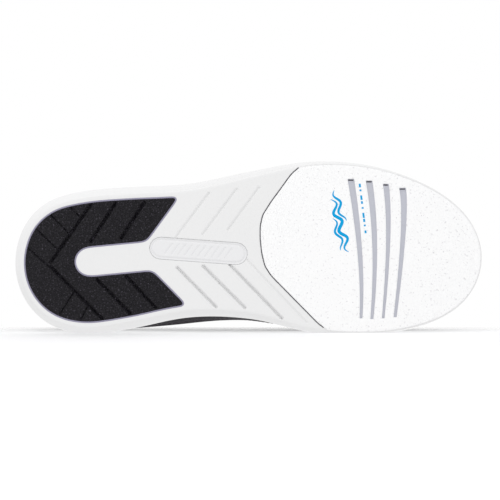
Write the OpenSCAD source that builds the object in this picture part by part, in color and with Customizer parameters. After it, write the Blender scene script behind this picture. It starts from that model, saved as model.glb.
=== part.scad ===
// Lace-up bowling shoe for the right foot, men's size 9, standing on its sole.
// The toe points to -Y, the heel to +Y, the medial (arch) side to +X and +Z is up.
// Stations along the shoe are measured from the back of the heel, and sideways offsets
// are positive towards the lateral side.

/* [Sole] */
// Overall length of the shoe
shoe_length = 300; // [285:1:315]
// Lift of the toe tip above the ground
toe_spring = 13; // [8:1:16]
// Thickness of the rubber and microfibre sole layer
tread_depth = 3.6; // [3.4:0.1:4.2]
// Depth of the moulded grooves in the sole
groove_depth = 1.2; // [0.6:0.1:1.6]
// Width of the grooves in the heel pad
heel_groove_width = 1.7; // [1:0.1:2.4]
// Thickness of the microfibre slide pad
slide_thickness = 1.8; // [1.4:0.1:2]

/* [Upper] */
// Thickness of the knitted shell
shell_thickness = 1.6; // [1.2:0.1:1.8]
// Thickness of the overlays stitched on the shell
overlay_thickness = 1.1; // [0.8:0.1:1.4]
// Thickness of the tongue
tongue_thickness = 6; // [4:0.5:7]
// Extra thickness of the collar padding
collar_padding = 6; // [4:0.5:7]

/* [Lacing] */
// Radius of the eyelet holes
eyelet_hole_radius = 2.9; // [2.7:0.1:3.2]
// Thickness of the round lace
lace_thickness = 2.4; // [2.2:0.1:2.5]
// Length of the tubes on the lace's ends
aglet_length = 14; // [12:1:16]

/* [Hidden] */

// Sideways distance from the heel's middle to the middle of the sole's overall width
middle_offset = 9.5;
// Sideways drift of the toe tip from the heel's middle
toe_drift = 3.5;
// Clearance between pieces that lie against each other
gap = 0.15;

// Tables below have one value for each 15 degrees of a turn that starts at the heel (0)
// and ends at the toe (180). Half the sole's width is the value times the angle's sine.
lateral_width = [84, 84, 76, 64, 55, 51, 56.5, 64.5, 69, 71, 73, 75, 75];
medial_width = [84, 82, 76.5, 65, 49.5, 37.5, 37.5, 48, 56, 63, 70, 75, 75];
// Height of the midsole's rim above the bottom of the sole
rim_height = [29, 29, 28.5, 27.5, 26, 24, 22.5, 21, 20, 20, 20.5, 21.5, 22];
// Height of the footbed above the bottom of the sole
bed_height = [17, 17, 16.5, 15.5, 14, 12.5, 11, 10, 9.5, 9.5, 9.5, 9.5, 9.5];
// How far the tread's edge lies inside the sole's outline
tread_inset = [5, 5, 4.6, 4.4, 4.4, 4.4, 3.8, 2.4, 1.6, 1.4, 1.4, 1.4, 1.4];
// Edge of the foot opening: station, half width and height
opening = [
    [11, 0, 86], [13, 13, 84.5], [21, 23, 79], [35, 29.5, 72], [56, 32, 69],
    [84, 30.5, 77], [108, 23, 97], [128, 20, 91], [150, 18, 82], [171, 16, 73.5],
    [187, 13.5, 67], [196, 8, 63.5], [199, 0, 62.5]
];
// Shape of the upper between rim and opening: rise at the rim, then reach and drop at the
// opening
rise = [24, 24, 24, 22, 22, 26, 32, 34, 34, 33, 31, 29, 28];
reach = [1, 1, 2, 3, 4, 7, 12, 16, 21, 31, 40, 43, 44];
drop = [22, 22, 20, 18, 18, 19, 17, 10, 9, 10, 8, 6, 6];
// How far the upper bulges out over the rim
medial_bulge = [3, 3, 4, 7, 12, 16, 15, 9, 6, 4, 3, 1.5, 1];
lateral_bulge = [3, 3, 3, 4, 5, 6, 6, 5, 4, 3, 2, 1, 1];
// Angles of the six pairs of eyelets
eyelet_angles = [150, 136.5, 124.5, 113, 102, 91];
// Share of the way from rim to opening at which the eyelets sit
eyelet_level = 0.9;

// ---- Interpolation -------------------------------------------------------------------

function blend4(a, b, c, d, t) =
    0.5 * (2 * b + (c - a) * t + (2 * a - 5 * b + 4 * c - d) * t * t
    + (3 * b - a - 3 * c + d) * t * t * t);

// Tables carry on past both ends as in a mirror, so a half width changes its sign there
function mirrored(v) = is_list(v) ? [v[0], -v[1], v[2]] : v;
function entry(table, k) = k < 0 ? mirrored(table[-k]) : k > 12 ? mirrored(table[24 - k])
    : table[k];

function table_at(table, angle) =
    let (i = min(floor(angle / 15), 11), t = angle / 15 - i)
    blend4(entry(table, i - 1), entry(table, i), entry(table, i + 1), entry(table, i + 2), t);

// Smooth curve through a list of points, at a place counted in points
function along_at(points, place) =
    let (n = len(points) - 1, i = min(max(floor(place), 0), n - 1), t = place - i)
    blend4(points[max(i - 1, 0)], points[i], points[i + 1], points[min(i + 2, n)], t);

function half_turn(angle) = let (a = (angle % 360 + 360) % 360) a <= 180 ? a : 360 - a;
function is_medial(angle) = (angle % 360 + 360) % 360 <= 180;
function mix(a, b, t) = a + (b - a) * t;
function smooth(t) = let (c = min(max(t, 0), 1)) c * c * (3 - 2 * c);
function unit(v) = v / norm(v);

// ---- The sole's outline and levels ----------------------------------------------------

function station(angle) = shoe_length / 2 * (1 - cos(half_turn(angle)));
function drift(s) = toe_drift * s / shoe_length;
// Place in plan of a station and a sideways offset
function plan(s, side) = [middle_offset - side, shoe_length / 2 - s];

function edge(angle) =
    let (a = half_turn(angle), s = station(a), medial = is_medial(angle),
        half = table_at(medial ? medial_width : lateral_width, a) * sin(a))
    plan(s, drift(s) + (medial ? -half : half));

function edge_normal(angle) =
    let (along = unit(edge(angle + 1) - edge(angle - 1))) [-along[1], along[0]];

function inset(angle, depth) = edge(angle) - depth * edge_normal(angle);

// Height of the sole's underside at a place along Y
function ground(y) =
    let (s = shoe_length / 2 - y, toe = shoe_length - 100, heel = 16)
    s > toe ? toe_spring * pow((s - toe) / 100, 2)
    : s < heel ? 1.5 * pow((heel - s) / heel, 2) : 0;

function level(angle, depth, height) =
    let (p = inset(angle, depth)) [p[0], p[1], ground(p[1]) + height];

function rim(angle) = table_at(rim_height, half_turn(angle));
// Height of the footbed at a place along Y
function bed(y) =
    let (turn = acos(min(max(2 * y / shoe_length, -1), 1)))
    ground(y) + table_at(bed_height, turn);
function tread_edge(angle) = table_at(tread_inset, half_turn(angle));

// ---- Solids from rings and sheets -----------------------------------------------------

// Faces between neighbouring points of two rings that start at a and b
function band(a, b, n) = [for (i = [0:n - 1]) let (j = (i + 1) % n)
    each [[a + i, b + i, b + j], [a + i, b + j, a + j]]];

// Faces across a ring, from each point to the one opposite it
function lid(a, n, up) = [for (i = [0:n / 2 - 1]) let (p = a + i, q = a + i + 1,
        r = a + n - 1 - i, s = a + (n - i) % n)
    each (i == 0 ? [up ? [p, q, r] : [p, r, q]]
        : i == n / 2 - 1 ? [up ? [p, q, s] : [p, s, q]]
        : up ? [[p, q, r], [p, r, s]] : [[p, r, q], [p, s, r]])];

// Closed solid through a list of rings, from the bottom one round to the last
module rings_solid(rings) {
    n = len(rings[0]);
    polyhedron(
        points = [for (r = rings) each r],
        faces = concat(
            lid(0, n, false),
            [for (k = [0:len(rings) - 2]) each band((k + 1) * n, k * n, n)],
            lid((len(rings) - 1) * n, n, true)));
}

// Unit normal of a surface that two numbers place, pointing outwards
function surface_normal(place, u, v) =
    let (du = place(u + 0.4, v) - place(u - 0.4, v),
        dv = place(u, v + 0.004) - place(u, v - 0.004))
    unit(cross(dv, du));

// Closed solid between two depths under a surface. from and to are functions of (u, v).
module sheet(place, us, vs, from, to) {
    nu = len(us);
    nv = len(vs);
    spots = [for (u = us) for (v = vs) [place(u, v), surface_normal(place, u, v), u, v]];
    outer = [for (s = spots) s[0] + s[1] * to(s[2], s[3])];
    inner = [for (s = spots) s[0] + s[1] * from(s[2], s[3])];
    m = nu * nv;
    polyhedron(
        points = concat(outer, inner),
        faces = concat(
            [for (i = [0:nu - 2]) for (j = [0:nv - 2]) let (a = i * nv + j, b = a + nv)
                each [[a, b + 1, a + 1], [a, b, b + 1],
                    [m + a, m + a + 1, m + b + 1], [m + a, m + b + 1, m + b]]],
            [for (i = [0:nu - 2]) let (a = i * nv, b = a + nv, c = a + nv - 1, d = c + nv)
                each [[b, a, m + a], [b, m + a, m + b], [c, d, m + d], [c, m + d, m + c]]],
            [for (j = [0:nv - 2]) let (a = j, b = m - nv + j)
                each [[a, a + 1, m + a + 1], [a, m + a + 1, m + a],
                    [b + 1, b, m + b], [b + 1, m + b, m + b + 1]]]));
}

function steps(a, b, n) = [for (i = [0:n]) mix(a, b, i / n)];
function fixed(d) = function (u, v) d;

// ---- Flat layers of the sole ----------------------------------------------------------

// Everything between two heights above the sole's underside
module slab(low, high) {
    ys = [for (s = concat([-20, 0, 4, 8, 12, 16], [for (i = [0:10])
        shoe_length - 100 + i * 10], [shoe_length + 20])) shoe_length / 2 - s];
    side = concat([for (y = ys) [y, ground(y) + low]],
        [for (i = [len(ys) - 1:-1:0]) [ys[i], ground(ys[i]) + high]]);
    translate([-90, 0, 0]) rotate([90, 0, 90]) linear_extrude(180) polygon(side);
}

// A plan outline cut out of the layer between two heights
module layer(low, high) {
    intersection() {
        translate([0, 0, -10]) linear_extrude(80) children();
        slab(low, high);
    }
}

function ring_plan(depth, n = 96) = [for (i = [0:n - 1]) inset(i * 360 / n, depth)];

module tread_plan(extra) {
    polygon([for (i = [0:95]) let (a = i * 360 / 96) inset(a, tread_edge(a) + extra)]);
}

// Outline points given as station and sideways offset
module shape(points) {
    polygon([for (p = points) plan(p[0], p[1])]);
}

// Straight slot between two places, with square ends
module stroke(from, to, width) {
    a = plan(from[0], from[1]);
    b = plan(to[0], to[1]);
    along = unit(b - a);
    side = [-along[1], along[0]] * width / 2;
    polygon([a + side, b + side, b - side, a - side]);
}

// ---- Sole: heel pad --------------------------------------------------------------------

heel_pad_inset = 8.6;
// The two slanted ends of the pad, either side of the bar that runs into it
heel_pad_front = [[-20, 70], [118, 59.5], [85, 14.3], [87.5, -4], [128, -45.3], [-20, -70]];
bar_start = [49, 0.8];
bar_end = [92, 4.9];
bar_radius = 9.7;
heel_grooves = [
    [[50, 36.7], [24.9, 0.6]], [[65.6, 37.7], [50, 13.6]], [[83.7, 38.2], [69.1, 15.6]],
    [[24.9, -2.5], [57, -35.1]], [[54.1, -10.5], [74.6, -31.6]], [[72.6, -8.5], [90.7, -28.1]]
];

module heel_pad_plan(extra) {
    offset(r = 2, $fn = 24) offset(delta = extra - 2) difference() {
        intersection() {
            polygon([for (a = [-110:5:110]) inset(a, heel_pad_inset)]);
            shape(heel_pad_front);
        }
        hull() {
            translate(plan(bar_start[0], bar_start[1])) circle(bar_radius, $fn = 32);
            translate(plan(bar_end[0], bar_end[1])) circle(bar_radius, $fn = 32);
        }
    }
}

// ---- Sole: slide pad -------------------------------------------------------------------

slide_rear = [
    [320, 90], [200, 90], [183.6, 62], [176.6, 56], [163.5, 38], [158.5, 30], [157, 23],
    [157, 15], [158, 6], [160, -2], [164, -8], [193, -37.5], [204, -46], [220, -60], [320, -60]
];
slide_edge = 0.9;
// Flex slots: the middle line's lateral end, middle and medial end, then the two end widths
flex_slots = [
    [[213.9, 53], [219.7, 5], [220.3, -35], 4.2, 1.8],
    [[225.4, 52], [229, 11], [227.2, -35.5], 4.2, 2],
    [[236.1, 50], [237.6, 15], [234.4, -35], 3.8, 1.7],
    [[246.7, 47.5], [247.2, 19], [242, -34.3], 4.4, 2]
];

module slide_plan(extra) {
    intersection() {
        tread_plan(slide_edge - extra);
        offset(delta = extra) shape(slide_rear);
    }
}

// One curved slot that narrows towards its medial end
module slot_plan(slot) {
    ends = plan(slot[0][0], slot[0][1]);
    mid = plan(slot[1][0], slot[1][1]);
    tail = plan(slot[2][0], slot[2][1]);
    pull = 2 * mid - (ends + tail) / 2;
    function on(t) = ends * (1 - t) * (1 - t) + pull * 2 * t * (1 - t) + tail * t * t;
    line = [for (t = [0:0.1:1]) on(t)];
    wide = [for (t = [0:0.1:1]) [0, mix(slot[3], slot[4], t) / 2]];
    polygon(concat([for (i = [0:10]) line[i] + wide[i]],
        [for (i = [10:-1:0]) line[i] - wide[i]]));
}

// ---- Sole: the badge and the grooves between the pads -----------------------------------

badge_middle = [117.8, 7.6];
badge_length = 62;
badge_width = 14;
badge_turn = 4.2;
waist_grooves = [
    [[104.5, -3], [128.8, -27.7]], [[120.8, -2], [147, -28.2]], [[137.5, -1], [170.4, -34.9]],
    [[124.4, 44], [103.5, 16]], [[141.8, 46.5], [120.5, 18]], [[155.9, 47.5], [136.5, 21]]
];

module badge_plan(extra) {
    run = badge_length / 2 - badge_width / 2;
    translate(plan(badge_middle[0], badge_middle[1])) rotate(badge_turn) hull() {
        translate([0, run]) circle(badge_width / 2 + extra, $fn = 40);
        translate([0, -run]) circle(badge_width / 2 + extra, $fn = 40);
    }
}

// ---- Sole pieces ------------------------------------------------------------------------

pad_depth = 2.6;
frame_rise = 0.3;

module outsole() {
    color("white") difference() {
        layer(frame_rise, tread_depth) tread_plan(0);
        layer(-5, pad_depth) heel_pad_plan(0.4);
        layer(-5, pad_depth) slide_plan(0.3);
        layer(-5, pad_depth - 1) badge_plan(0.2);
        for (g = waist_grooves) layer(-5, frame_rise + groove_depth) stroke(g[0], g[1], 1.1);
    }
}

module heel_pad() {
    color([0.08, 0.08, 0.09]) difference() {
        layer(0, pad_depth - gap) heel_pad_plan(0);
        for (g = heel_grooves) layer(-5, groove_depth) stroke(g[0], g[1], heel_groove_width);
    }
}

module slide_pad() {
    color([0.95, 0.95, 0.96]) difference() {
        layer(0, slide_thickness) slide_plan(0);
        for (slot = flex_slots) layer(-5, 5) slot_plan(slot);
    }
}

module slide_backing() {
    color([0.72, 0.73, 0.78]) layer(slide_thickness + 0.02, pad_depth - 0.05) slide_plan(0);
}

module waist_badge() {
    color([0.93, 0.93, 0.94]) layer(0.7, pad_depth - 1 - gap) badge_plan(0);
}

// One turn of a ring round the sole has this many points
turns = 90;
angles = [for (i = [0:turns - 1]) i * 360 / turns];
cup_inset = 5.2;

function bed_ring(depth, height) =
    [for (a = angles) let (p = inset(a, depth)) [p[0], p[1], bed(p[1]) + height]];

// The foam midsole is a cup: rings run up its outer wall, over the rim and down inside
module midsole() {
    color("white") rings_solid([
        [for (a = angles) level(a, tread_edge(a) + 0.8, tread_depth + 0.05)],
        [for (a = angles) level(a, tread_edge(a) - 0.6, tread_depth + 1)],
        [for (a = angles) level(a, 0.4, rim(a) * 0.34)],
        [for (a = angles) level(a, 0, rim(a) * 0.5)],
        [for (a = angles) level(a, 0.7, rim(a) * 0.75)],
        [for (a = angles) level(a, 1.5, rim(a) * 0.94)],
        [for (a = angles) level(a, 2.2, rim(a))],
        [for (a = angles) level(a, 3.2, rim(a) - 0.3)],
        [for (a = angles) level(a, 3.8, rim(a) - 1.8)],
        [for (a = angles) level(a, cup_inset, rim(a) - 3.2)],
        bed_ring(cup_inset, 0)
    ]);
}

board_inset = 10.2;

module lasting_board() {
    color([0.6, 0.5, 0.35]) rings_solid([
        bed_ring(board_inset, 0.15), bed_ring(board_inset, 1.35)
    ]);
}

module sockliner() {
    color([0.25, 0.25, 0.28]) rings_solid([
        bed_ring(board_inset + 0.2, 1.5),
        bed_ring(board_inset + 0.2, 5.2),
        bed_ring(board_inset + 1, 6),
        bed_ring(board_inset + 4, 5.6)
    ]);
}

// ---- Upper ------------------------------------------------------------------------------

// Place of the opening's edge
function top_edge(angle) =
    let (o = table_at(opening, half_turn(angle)), c = 3 * pow(o[0] / 200, 2),
        p = plan(o[0], c + (is_medial(angle) ? -o[1] : o[1])))
    [p[0], p[1], o[2]];

// Place where the upper comes out of the midsole's cup
function foot_edge(angle) = level(angle, cup_inset + 0.4, rim(angle) - 1);

function bulge(angle) =
    table_at(is_medial(angle) ? medial_bulge : lateral_bulge, half_turn(angle));

// Place on the upper's outer face. u is an angle round the shoe, and v runs from 0 at the
// rim to 1 at the opening. Below the rim v is negative, down to the footbed.
function upper(u, v) =
    let (foot = foot_edge(u))
    v < 0 ? foot + [0, 0, v / 0.12 * (foot[2] - bed(foot[1]) - 0.6)]
    : let (a = half_turn(u), top = top_edge(u),
        out = unit([foot[0] - top[0], foot[1] - top[1]]),
        side = bulge(u) * edge_normal(u),
        p1 = foot + [side[0], side[1], table_at(rise, a)],
        k = table_at(reach, a),
        p2 = top + [out[0] * k + side[0], out[1] * k + side[1], -table_at(drop, a)])
    foot * pow(1 - v, 3) + p1 * 3 * v * pow(1 - v, 2) + p2 * 3 * v * v * (1 - v)
        + top * pow(v, 3);

// Levels that every piece of the upper shares, so that layers follow one another
levels = [-0.12, 0, 0.1, 0.21, 0.32, 0.44, 0.57, 0.7, 0.8, 0.9, 0.95, 1];
turn_step = 4;

// The shared levels between two of them, with the two themselves
function levels_between(low, high) =
    concat([low], [for (v = levels) if (v > low + 0.001 && v < high - 0.001) v], [high]);

// The shared turns between two angles, with the two themselves
function turns_between(low, high) =
    concat([low], [for (i = [-90:90]) let (u = i * turn_step)
        if (u > low + 0.01 && u < high - 0.01) u], [high]);

place_upper = function (u, v) upper(u, v);

// A patch of the upper between two turns, two levels and two depths
module patch(turn_low, turn_high, low, high, from, to) {
    sheet(place_upper, turns_between(turn_low, turn_high), levels_between(low, high),
        from, to);
}

seam = 0.25;
vamp_end = 120;
shell_in = -shell_thickness;
lining_out = shell_in - 0.12;
lining_in = lining_out - 0.8;

// Round hole for each eyelet on one side of the throat, through every layer
module eyelet_holes(side) {
    for (a = eyelet_angles) at_eyelet(side * a) cylinder(h = 12, r = eyelet_hole_radius,
        center = true, $fn = 24);
}

// Puts a thing on the upper's face with its Z axis pointing straight out
module at_eyelet(turn) {
    spot = upper(turn, eyelet_level);
    n = surface_normal(place_upper, turn, eyelet_level);
    yaw = atan2(n[1], n[0]);
    tilt = acos(n[2]);
    translate(spot) rotate([0, tilt, yaw]) children();
}

module vamp() {
    color([0.16, 0.15, 0.17]) difference() {
        patch(vamp_end, 360 - vamp_end, -0.12, 1, fixed(shell_in), fixed(0));
        eyelet_holes(1);
        eyelet_holes(-1);
    }
}

module quarter_medial() {
    color([0.19, 0.18, 0.2]) difference() {
        patch(seam, vamp_end - seam, -0.12, 1, fixed(shell_in), fixed(0));
        eyelet_holes(1);
    }
}

module quarter_lateral() {
    color([0.19, 0.18, 0.2]) difference() {
        patch(seam - vamp_end, -seam, -0.12, 1, fixed(shell_in), fixed(0));
        eyelet_holes(-1);
    }
}

lining_end = 87;

module vamp_lining() {
    color([0.5, 0.5, 0.53]) difference() {
        patch(lining_end, 360 - lining_end, -0.12, 0.95, fixed(lining_in),
            fixed(lining_out));
        eyelet_holes(1);
        eyelet_holes(-1);
    }
}

counter_thickness = 1.4;

function padding(u, v) =
    collar_padding * smooth((v - 0.46) / 0.36) * smooth((88 - abs(u)) / 34)
        + counter_thickness;

module collar_foam() {
    color([0.85, 0.8, 0.6]) patch(-lining_end + 1, lining_end - 1, 0.44, 0.95,
        function (u, v) lining_out - padding(u, v), fixed(lining_out));
}

module collar_lining() {
    color([0.3, 0.3, 0.33]) patch(-lining_end + 1, lining_end - 1, -0.12, 0.95,
        function (u, v) lining_out - padding(u, v) - 0.95,
        function (u, v) lining_out - padding(u, v) - 0.15);
}

module heel_counter() {
    color([0.75, 0.75, 0.7]) patch(-72, 72, -0.12, 0.43,
        fixed(lining_out - counter_thickness + 0.1), fixed(lining_out));
}

module toe_puff() {
    color([0.75, 0.75, 0.7]) patch(148, 212, 0.1, 0.44,
        fixed(lining_in - 0.95), fixed(lining_in - 0.15));
}

overlay_in = 0.15;

module toe_cap() {
    color([0.1, 0.1, 0.11]) patch(152, 208, 0.01, 0.32, fixed(overlay_in),
        fixed(overlay_in + overlay_thickness));
}

module heel_patch() {
    color([0.1, 0.1, 0.11]) patch(-36, 36, 0.01, 0.57, fixed(overlay_in),
        fixed(overlay_in + overlay_thickness));
}

module foxing_medial() {
    color([0.1, 0.1, 0.11]) patch(36.4, 151.6, 0.01, 0.21, fixed(overlay_in),
        fixed(overlay_in + overlay_thickness));
}

module foxing_lateral() {
    color([0.1, 0.1, 0.11]) patch(-151.6, -36.4, 0.01, 0.21, fixed(overlay_in),
        fixed(overlay_in + overlay_thickness));
}

module eyestay_medial() {
    color([0.08, 0.08, 0.09]) difference() {
        patch(84, 179.6, 0.7, 1, fixed(overlay_in), fixed(overlay_in + overlay_thickness));
        eyelet_holes(1);
    }
}

module eyestay_lateral() {
    color([0.08, 0.08, 0.09]) difference() {
        patch(-179.6, -84, 0.7, 1, fixed(overlay_in), fixed(overlay_in + overlay_thickness));
        eyelet_holes(-1);
    }
}

// ---- Eyelets ----------------------------------------------------------------------------

barrel_outer = eyelet_hole_radius - 0.2;
barrel_inner = barrel_outer - 0.4;
flange_radius = eyelet_hole_radius + 1.3;
stack_top = overlay_in + overlay_thickness;

module eyelet() {
    rotate_extrude($fn = 32) polygon([
        [barrel_inner, -1.4], [barrel_outer, -1.4], [barrel_outer, stack_top + 0.4],
        [flange_radius, stack_top + 0.4], [flange_radius, stack_top + 0.7],
        [flange_radius - 0.5, stack_top + 1], [barrel_inner + 0.3, stack_top + 1],
        [barrel_inner, stack_top + 0.8]
    ]);
}

module eyelets() {
    color("silver") for (a = eyelet_angles) for (side = [-1, 1])
        at_eyelet(side * a) eyelet();
}

// ---- Tongue -----------------------------------------------------------------------------

tongue_front = 168;
tongue_back = 88;
tongue_tip = 22;
tongue_drop = 5.9;

// Middle of the throat at a turn: the tongue's five guide points, side to side
function tongue_guides(turn) =
    let (
        edge_l = upper(-turn, 1) - tongue_drop * surface_normal(place_upper, -turn, 0.995),
        edge_m = upper(turn, 1) - tongue_drop * surface_normal(place_upper, turn, 0.995),
        wing = 0.87 + 0.06 * smooth((turn - 148) / 20),
        wing_l = upper(-turn, wing) - tongue_drop * surface_normal(place_upper, -turn, wing),
        wing_m = upper(turn, wing) - tongue_drop * surface_normal(place_upper, turn, wing),
        half = norm(edge_m - edge_l) / 2)
    [wing_l, edge_l, (edge_l + edge_m) / 2 + [0, 0.02, 0.2] * half, edge_m, wing_m];

tongue_turns = [for (i = [0:16]) mix(tongue_front, tongue_back, i / 16)];
tongue_rows = [for (t = tongue_turns) tongue_guides(t)];
tongue_end = tongue_rows[16];
tongue_way = unit([0, 0.82, 0.57]);

// Place on the tongue's outer face. u runs from 0 at its base to 1 at the top eyelets and
// 1.3 at its tip, and v from -1 on the lateral edge to 1 on the medial one.
function tongue_row(u) =
    u <= 1 ? [for (k = [0:4]) along_at([for (r = tongue_rows) r[k]], u * 16)]
    : let (t = (u - 1) / 0.3, middle = tongue_end[2])
        [for (p = tongue_end) let (d = (p - middle) * (1 - 0.3 * t))
            middle + [d[0], d[1] * (1 - 0.5 * t), d[2] * (1 - 0.6 * min(t * 1.6, 1))]
            + tongue_way * tongue_tip * t + [0, 0, 2 * t * t]];

function on_tongue(u, v) =
    let (row = tongue_row(u), a = 2 + 2 * v) along_at(row, a);

place_tongue = function (u, v) on_tongue(u / 100, v);

function tongue_depth(u, v) =
    tongue_thickness * (0.35 + 0.65 * smooth((1 - abs(v)) / 0.35))
        * (0.3 + 0.7 * smooth(u / 0.25)) * (0.6 + 0.4 * smooth((1.3 - u) / 0.06));

module tongue() {
    color([0.2, 0.19, 0.21]) sheet(place_tongue, steps(0, 130, 22), steps(-1, 1, 12),
        function (u, v) -tongue_depth(u / 100, v), fixed(0));
}

// Webbing stitched over the tongue's tip
module tongue_edging() {
    color([0.06, 0.06, 0.07]) sheet(place_tongue, steps(112, 127, 4), steps(-0.36, 0.36, 6),
        fixed(0.15), fixed(1));
}

// ---- Lace -------------------------------------------------------------------------------

thick = lace_thickness;
over_tongue = thick / 2 + 0.25;
over_strand = over_tongue + thick + 0.3;
over_stack = stack_top + 1 + thick / 2 + 0.15;
under_stack = lining_in - thick / 2 - 0.2;
knot_place = 1.08;

function off_upper(turn, v, h) = upper(turn, v) + h * surface_normal(place_upper, turn, v);
function off_tongue(u, v, h) =
    on_tongue(u, v) + h * surface_normal(place_tongue, 100 * u, v);
function tongue_mark(turn) = (tongue_front - turn) / (tongue_front - tongue_back);

// Places from inside one eyelet over the throat to the underside of the next one
function strand(k, side, height) =
    let (
        a = eyelet_angles[k],
        b = eyelet_angles[k + 1],
        u0 = tongue_mark(a),
        u1 = tongue_mark(b))
    [
        off_upper(side * a, eyelet_level, -1),
        off_upper(side * a, eyelet_level, 2.2),
        off_upper(side * mix(a, b, 0.06), eyelet_level + 0.037, over_stack + 0.5),
        off_upper(side * mix(a, b, 0.14), eyelet_level + 0.08, over_stack),
        off_tongue(mix(u0, u1, 0.36), side * 0.25, mix(over_strand, height, 0.6) + 0.4),
        off_tongue(mix(u0, u1, 0.5), 0, height),
        off_tongue(mix(u0, u1, 0.64), -side * 0.22, mix(over_tongue, height, 0.6)),
        off_tongue(mix(u0, u1, 0.86), -side * 0.44, over_tongue),
        off_upper(-side * mix(a, b, 0.96), eyelet_level + 0.065, under_stack),
        off_upper(-side * b, eyelet_level + 0.028, under_stack)
    ];

// The bow: over the tongue, out into a loop, back across and down into a tail
function bow_places(s, low) =
    let (h1 = low ? over_tongue : over_strand, h2 = h1 + 2 * thick + 1.5)
    [
        off_tongue(knot_place - 0.05, s * 0.25, h1 + 0.8),
        off_tongue(knot_place, 0, h1),
        off_tongue(knot_place + 0.06, -s * 0.24, h1 + 1.6),
        off_tongue(knot_place + 0.05, -s * 0.75, h1 + 0.6),
        off_upper(-s * 85.5, 0.95, 8),
        off_upper(-s * 87, 0.82, 5.4),
        off_upper(-s * 92, 0.68, 3.6),
        off_upper(-s * 98, 0.6, 3),
        off_upper(-s * 104, 0.61, 3),
        off_upper(-s * 107, 0.7, 3.8),
        off_upper(-s * 105, 0.82, 6.4),
        off_upper(-s * 100.5, 0.95, 9),
        off_tongue(knot_place - 0.045, -s * 0.22, h2 + 0.8),
        off_tongue(knot_place - 0.075, 0, h2),
        off_tongue(knot_place - 0.13, s * 0.24, h2),
        off_upper(s * 109, 0.98, 8),
        off_upper(s * 114, 0.87, 6.6),
        off_upper(s * 119, 0.75, 4.2),
        off_upper(s * 121, 0.66, 2.8),
        off_upper(s * 121.5, 0.59, 2.4),
        off_upper(s * 121.5, 0.54, 2.4)
    ];

bow_length = 21;
function tail_end(s) = bow_places(s, true)[bow_length - 1];
function tail_way(s) = unit(tail_end(s) - bow_places(s, true)[bow_length - 2]);

// Half of the lace, from the bar at the toe end over the eyelets and the bow to its tip
function half_lace(side) =
    let (a0 = eyelet_angles[0], a5 = eyelet_angles[5], s = -side)
    concat(
        [
            off_tongue(tongue_mark(a0), side * 0.38, over_tongue),
            off_upper(side * a0, eyelet_level + 0.065, under_stack),
            off_upper(side * a0, eyelet_level + 0.026, under_stack)
        ],
        [for (k = [0:4]) each strand(k, k % 2 == 0 ? side : -side,
            (k % 2 == 0) == (side > 0) ? over_tongue : over_strand)],
        [
            off_upper(s * a5, eyelet_level, -1),
            off_upper(s * a5, eyelet_level, 2.2),
            off_upper(s * (a5 - 0.6), eyelet_level + 0.035, over_stack + 0.5),
            off_upper(s * (a5 - 1), eyelet_level + 0.08, over_stack + 0.6)
        ],
        bow_places(s, side > 0),
        [tail_end(s) + (aglet_length - 1) * tail_way(s)]);

function backwards(list) = [for (i = [len(list) - 1:-1:0]) list[i]];

lace_steps = 3;
section = 6;

// Thickness of the lace near its two ends, where the aglets squeeze it
function lace_size(x, last) =
    mix(thick, 1.7, smooth(2.6 - min(x, last - x)));

module lace() {
    places = concat(backwards(half_lace(-1)),
        [off_tongue(tongue_mark(eyelet_angles[0]), 0, over_tongue + 0.2)], half_lace(1));
    n = len(places) - 1;
    count = n * lace_steps;
    xs = [for (i = [0:count]) i / lace_steps];
    ways = [for (x = xs)
        unit(along_at(places, min(x + 0.1, n)) - along_at(places, max(x - 0.1, 0)))];
    sides = [for (i = 0, s = unit(cross(ways[0], [1, 1, 1])); i <= count; i = i + 1,
        s = i > count ? s : unit(s - (s * ways[i]) * ways[i])) s];
    color([0.08, 0.08, 0.09]) polyhedron(
        points = [for (i = [0:count]) let (spot = along_at(places, xs[i]),
                up = cross(ways[i], sides[i]), r = lace_size(xs[i], n) / 2)
            for (k = [0:section - 1]) let (q = k * 360 / section)
                spot + r * (cos(q) * sides[i] + sin(q) * up)],
        faces = concat(
            [[for (i = [0:section - 1]) i]],
            [for (k = [0:count - 1]) each band(k * section, (k + 1) * section, section)],
            [[for (i = [section - 1:-1:0]) count * section + i]]));
}

module aglets() {
    color([0.05, 0.05, 0.05]) for (side = [-1, 1]) {
        way = tail_way(side);
        translate(tail_end(side) + way * 0.8)
            rotate([0, acos(way[2]), atan2(way[1], way[0])]) difference() {
                cylinder(h = aglet_length, r = 1.35, $fn = 24);
                translate([0, 0, -1]) cylinder(h = aglet_length, r = 1, $fn = 24);
            }
    }
}

// ---- Heel strip and pull tab --------------------------------------------------------------

module heel_strip() {
    color([0.06, 0.06, 0.07]) patch(-8, 8, 0.585, 1, fixed(overlay_in),
        fixed(overlay_in + overlay_thickness));
}

tab_width = 15;
tab_height = 24;
tab_wall = 1.3;

// Folded webbing: a loop that narrows down to its stitched end
module tab_outline(cut) {
    hull() {
        translate([0, tab_height - 5.5]) circle(5 - cut, $fn = 32);
        translate([0, 2 + cut * 3]) circle(1.8 - cut, $fn = 20);
    }
}

module pull_tab() {
    top = upper(0, 1);
    color([0.06, 0.06, 0.07]) translate(top + [0, -0.8, 0.3]) rotate([-6, 0, 0])
        rotate([90, 0, 90]) translate([0, 0, -tab_width / 2]) linear_extrude(tab_width)
        difference() {
            tab_outline(0);
            tab_outline(tab_wall);
        }
}

outsole();
heel_pad();
slide_pad();
slide_backing();
waist_badge();
midsole();
lasting_board();
sockliner();
vamp();
quarter_medial();
quarter_lateral();
vamp_lining();
collar_lining();
collar_foam();
heel_counter();
toe_puff();
toe_cap();
heel_patch();
foxing_medial();
foxing_lateral();
eyestay_medial();
eyestay_lateral();
eyelets();
tongue();
tongue_edging();
lace();
aglets();
heel_strip();
pull_tab();
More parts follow.
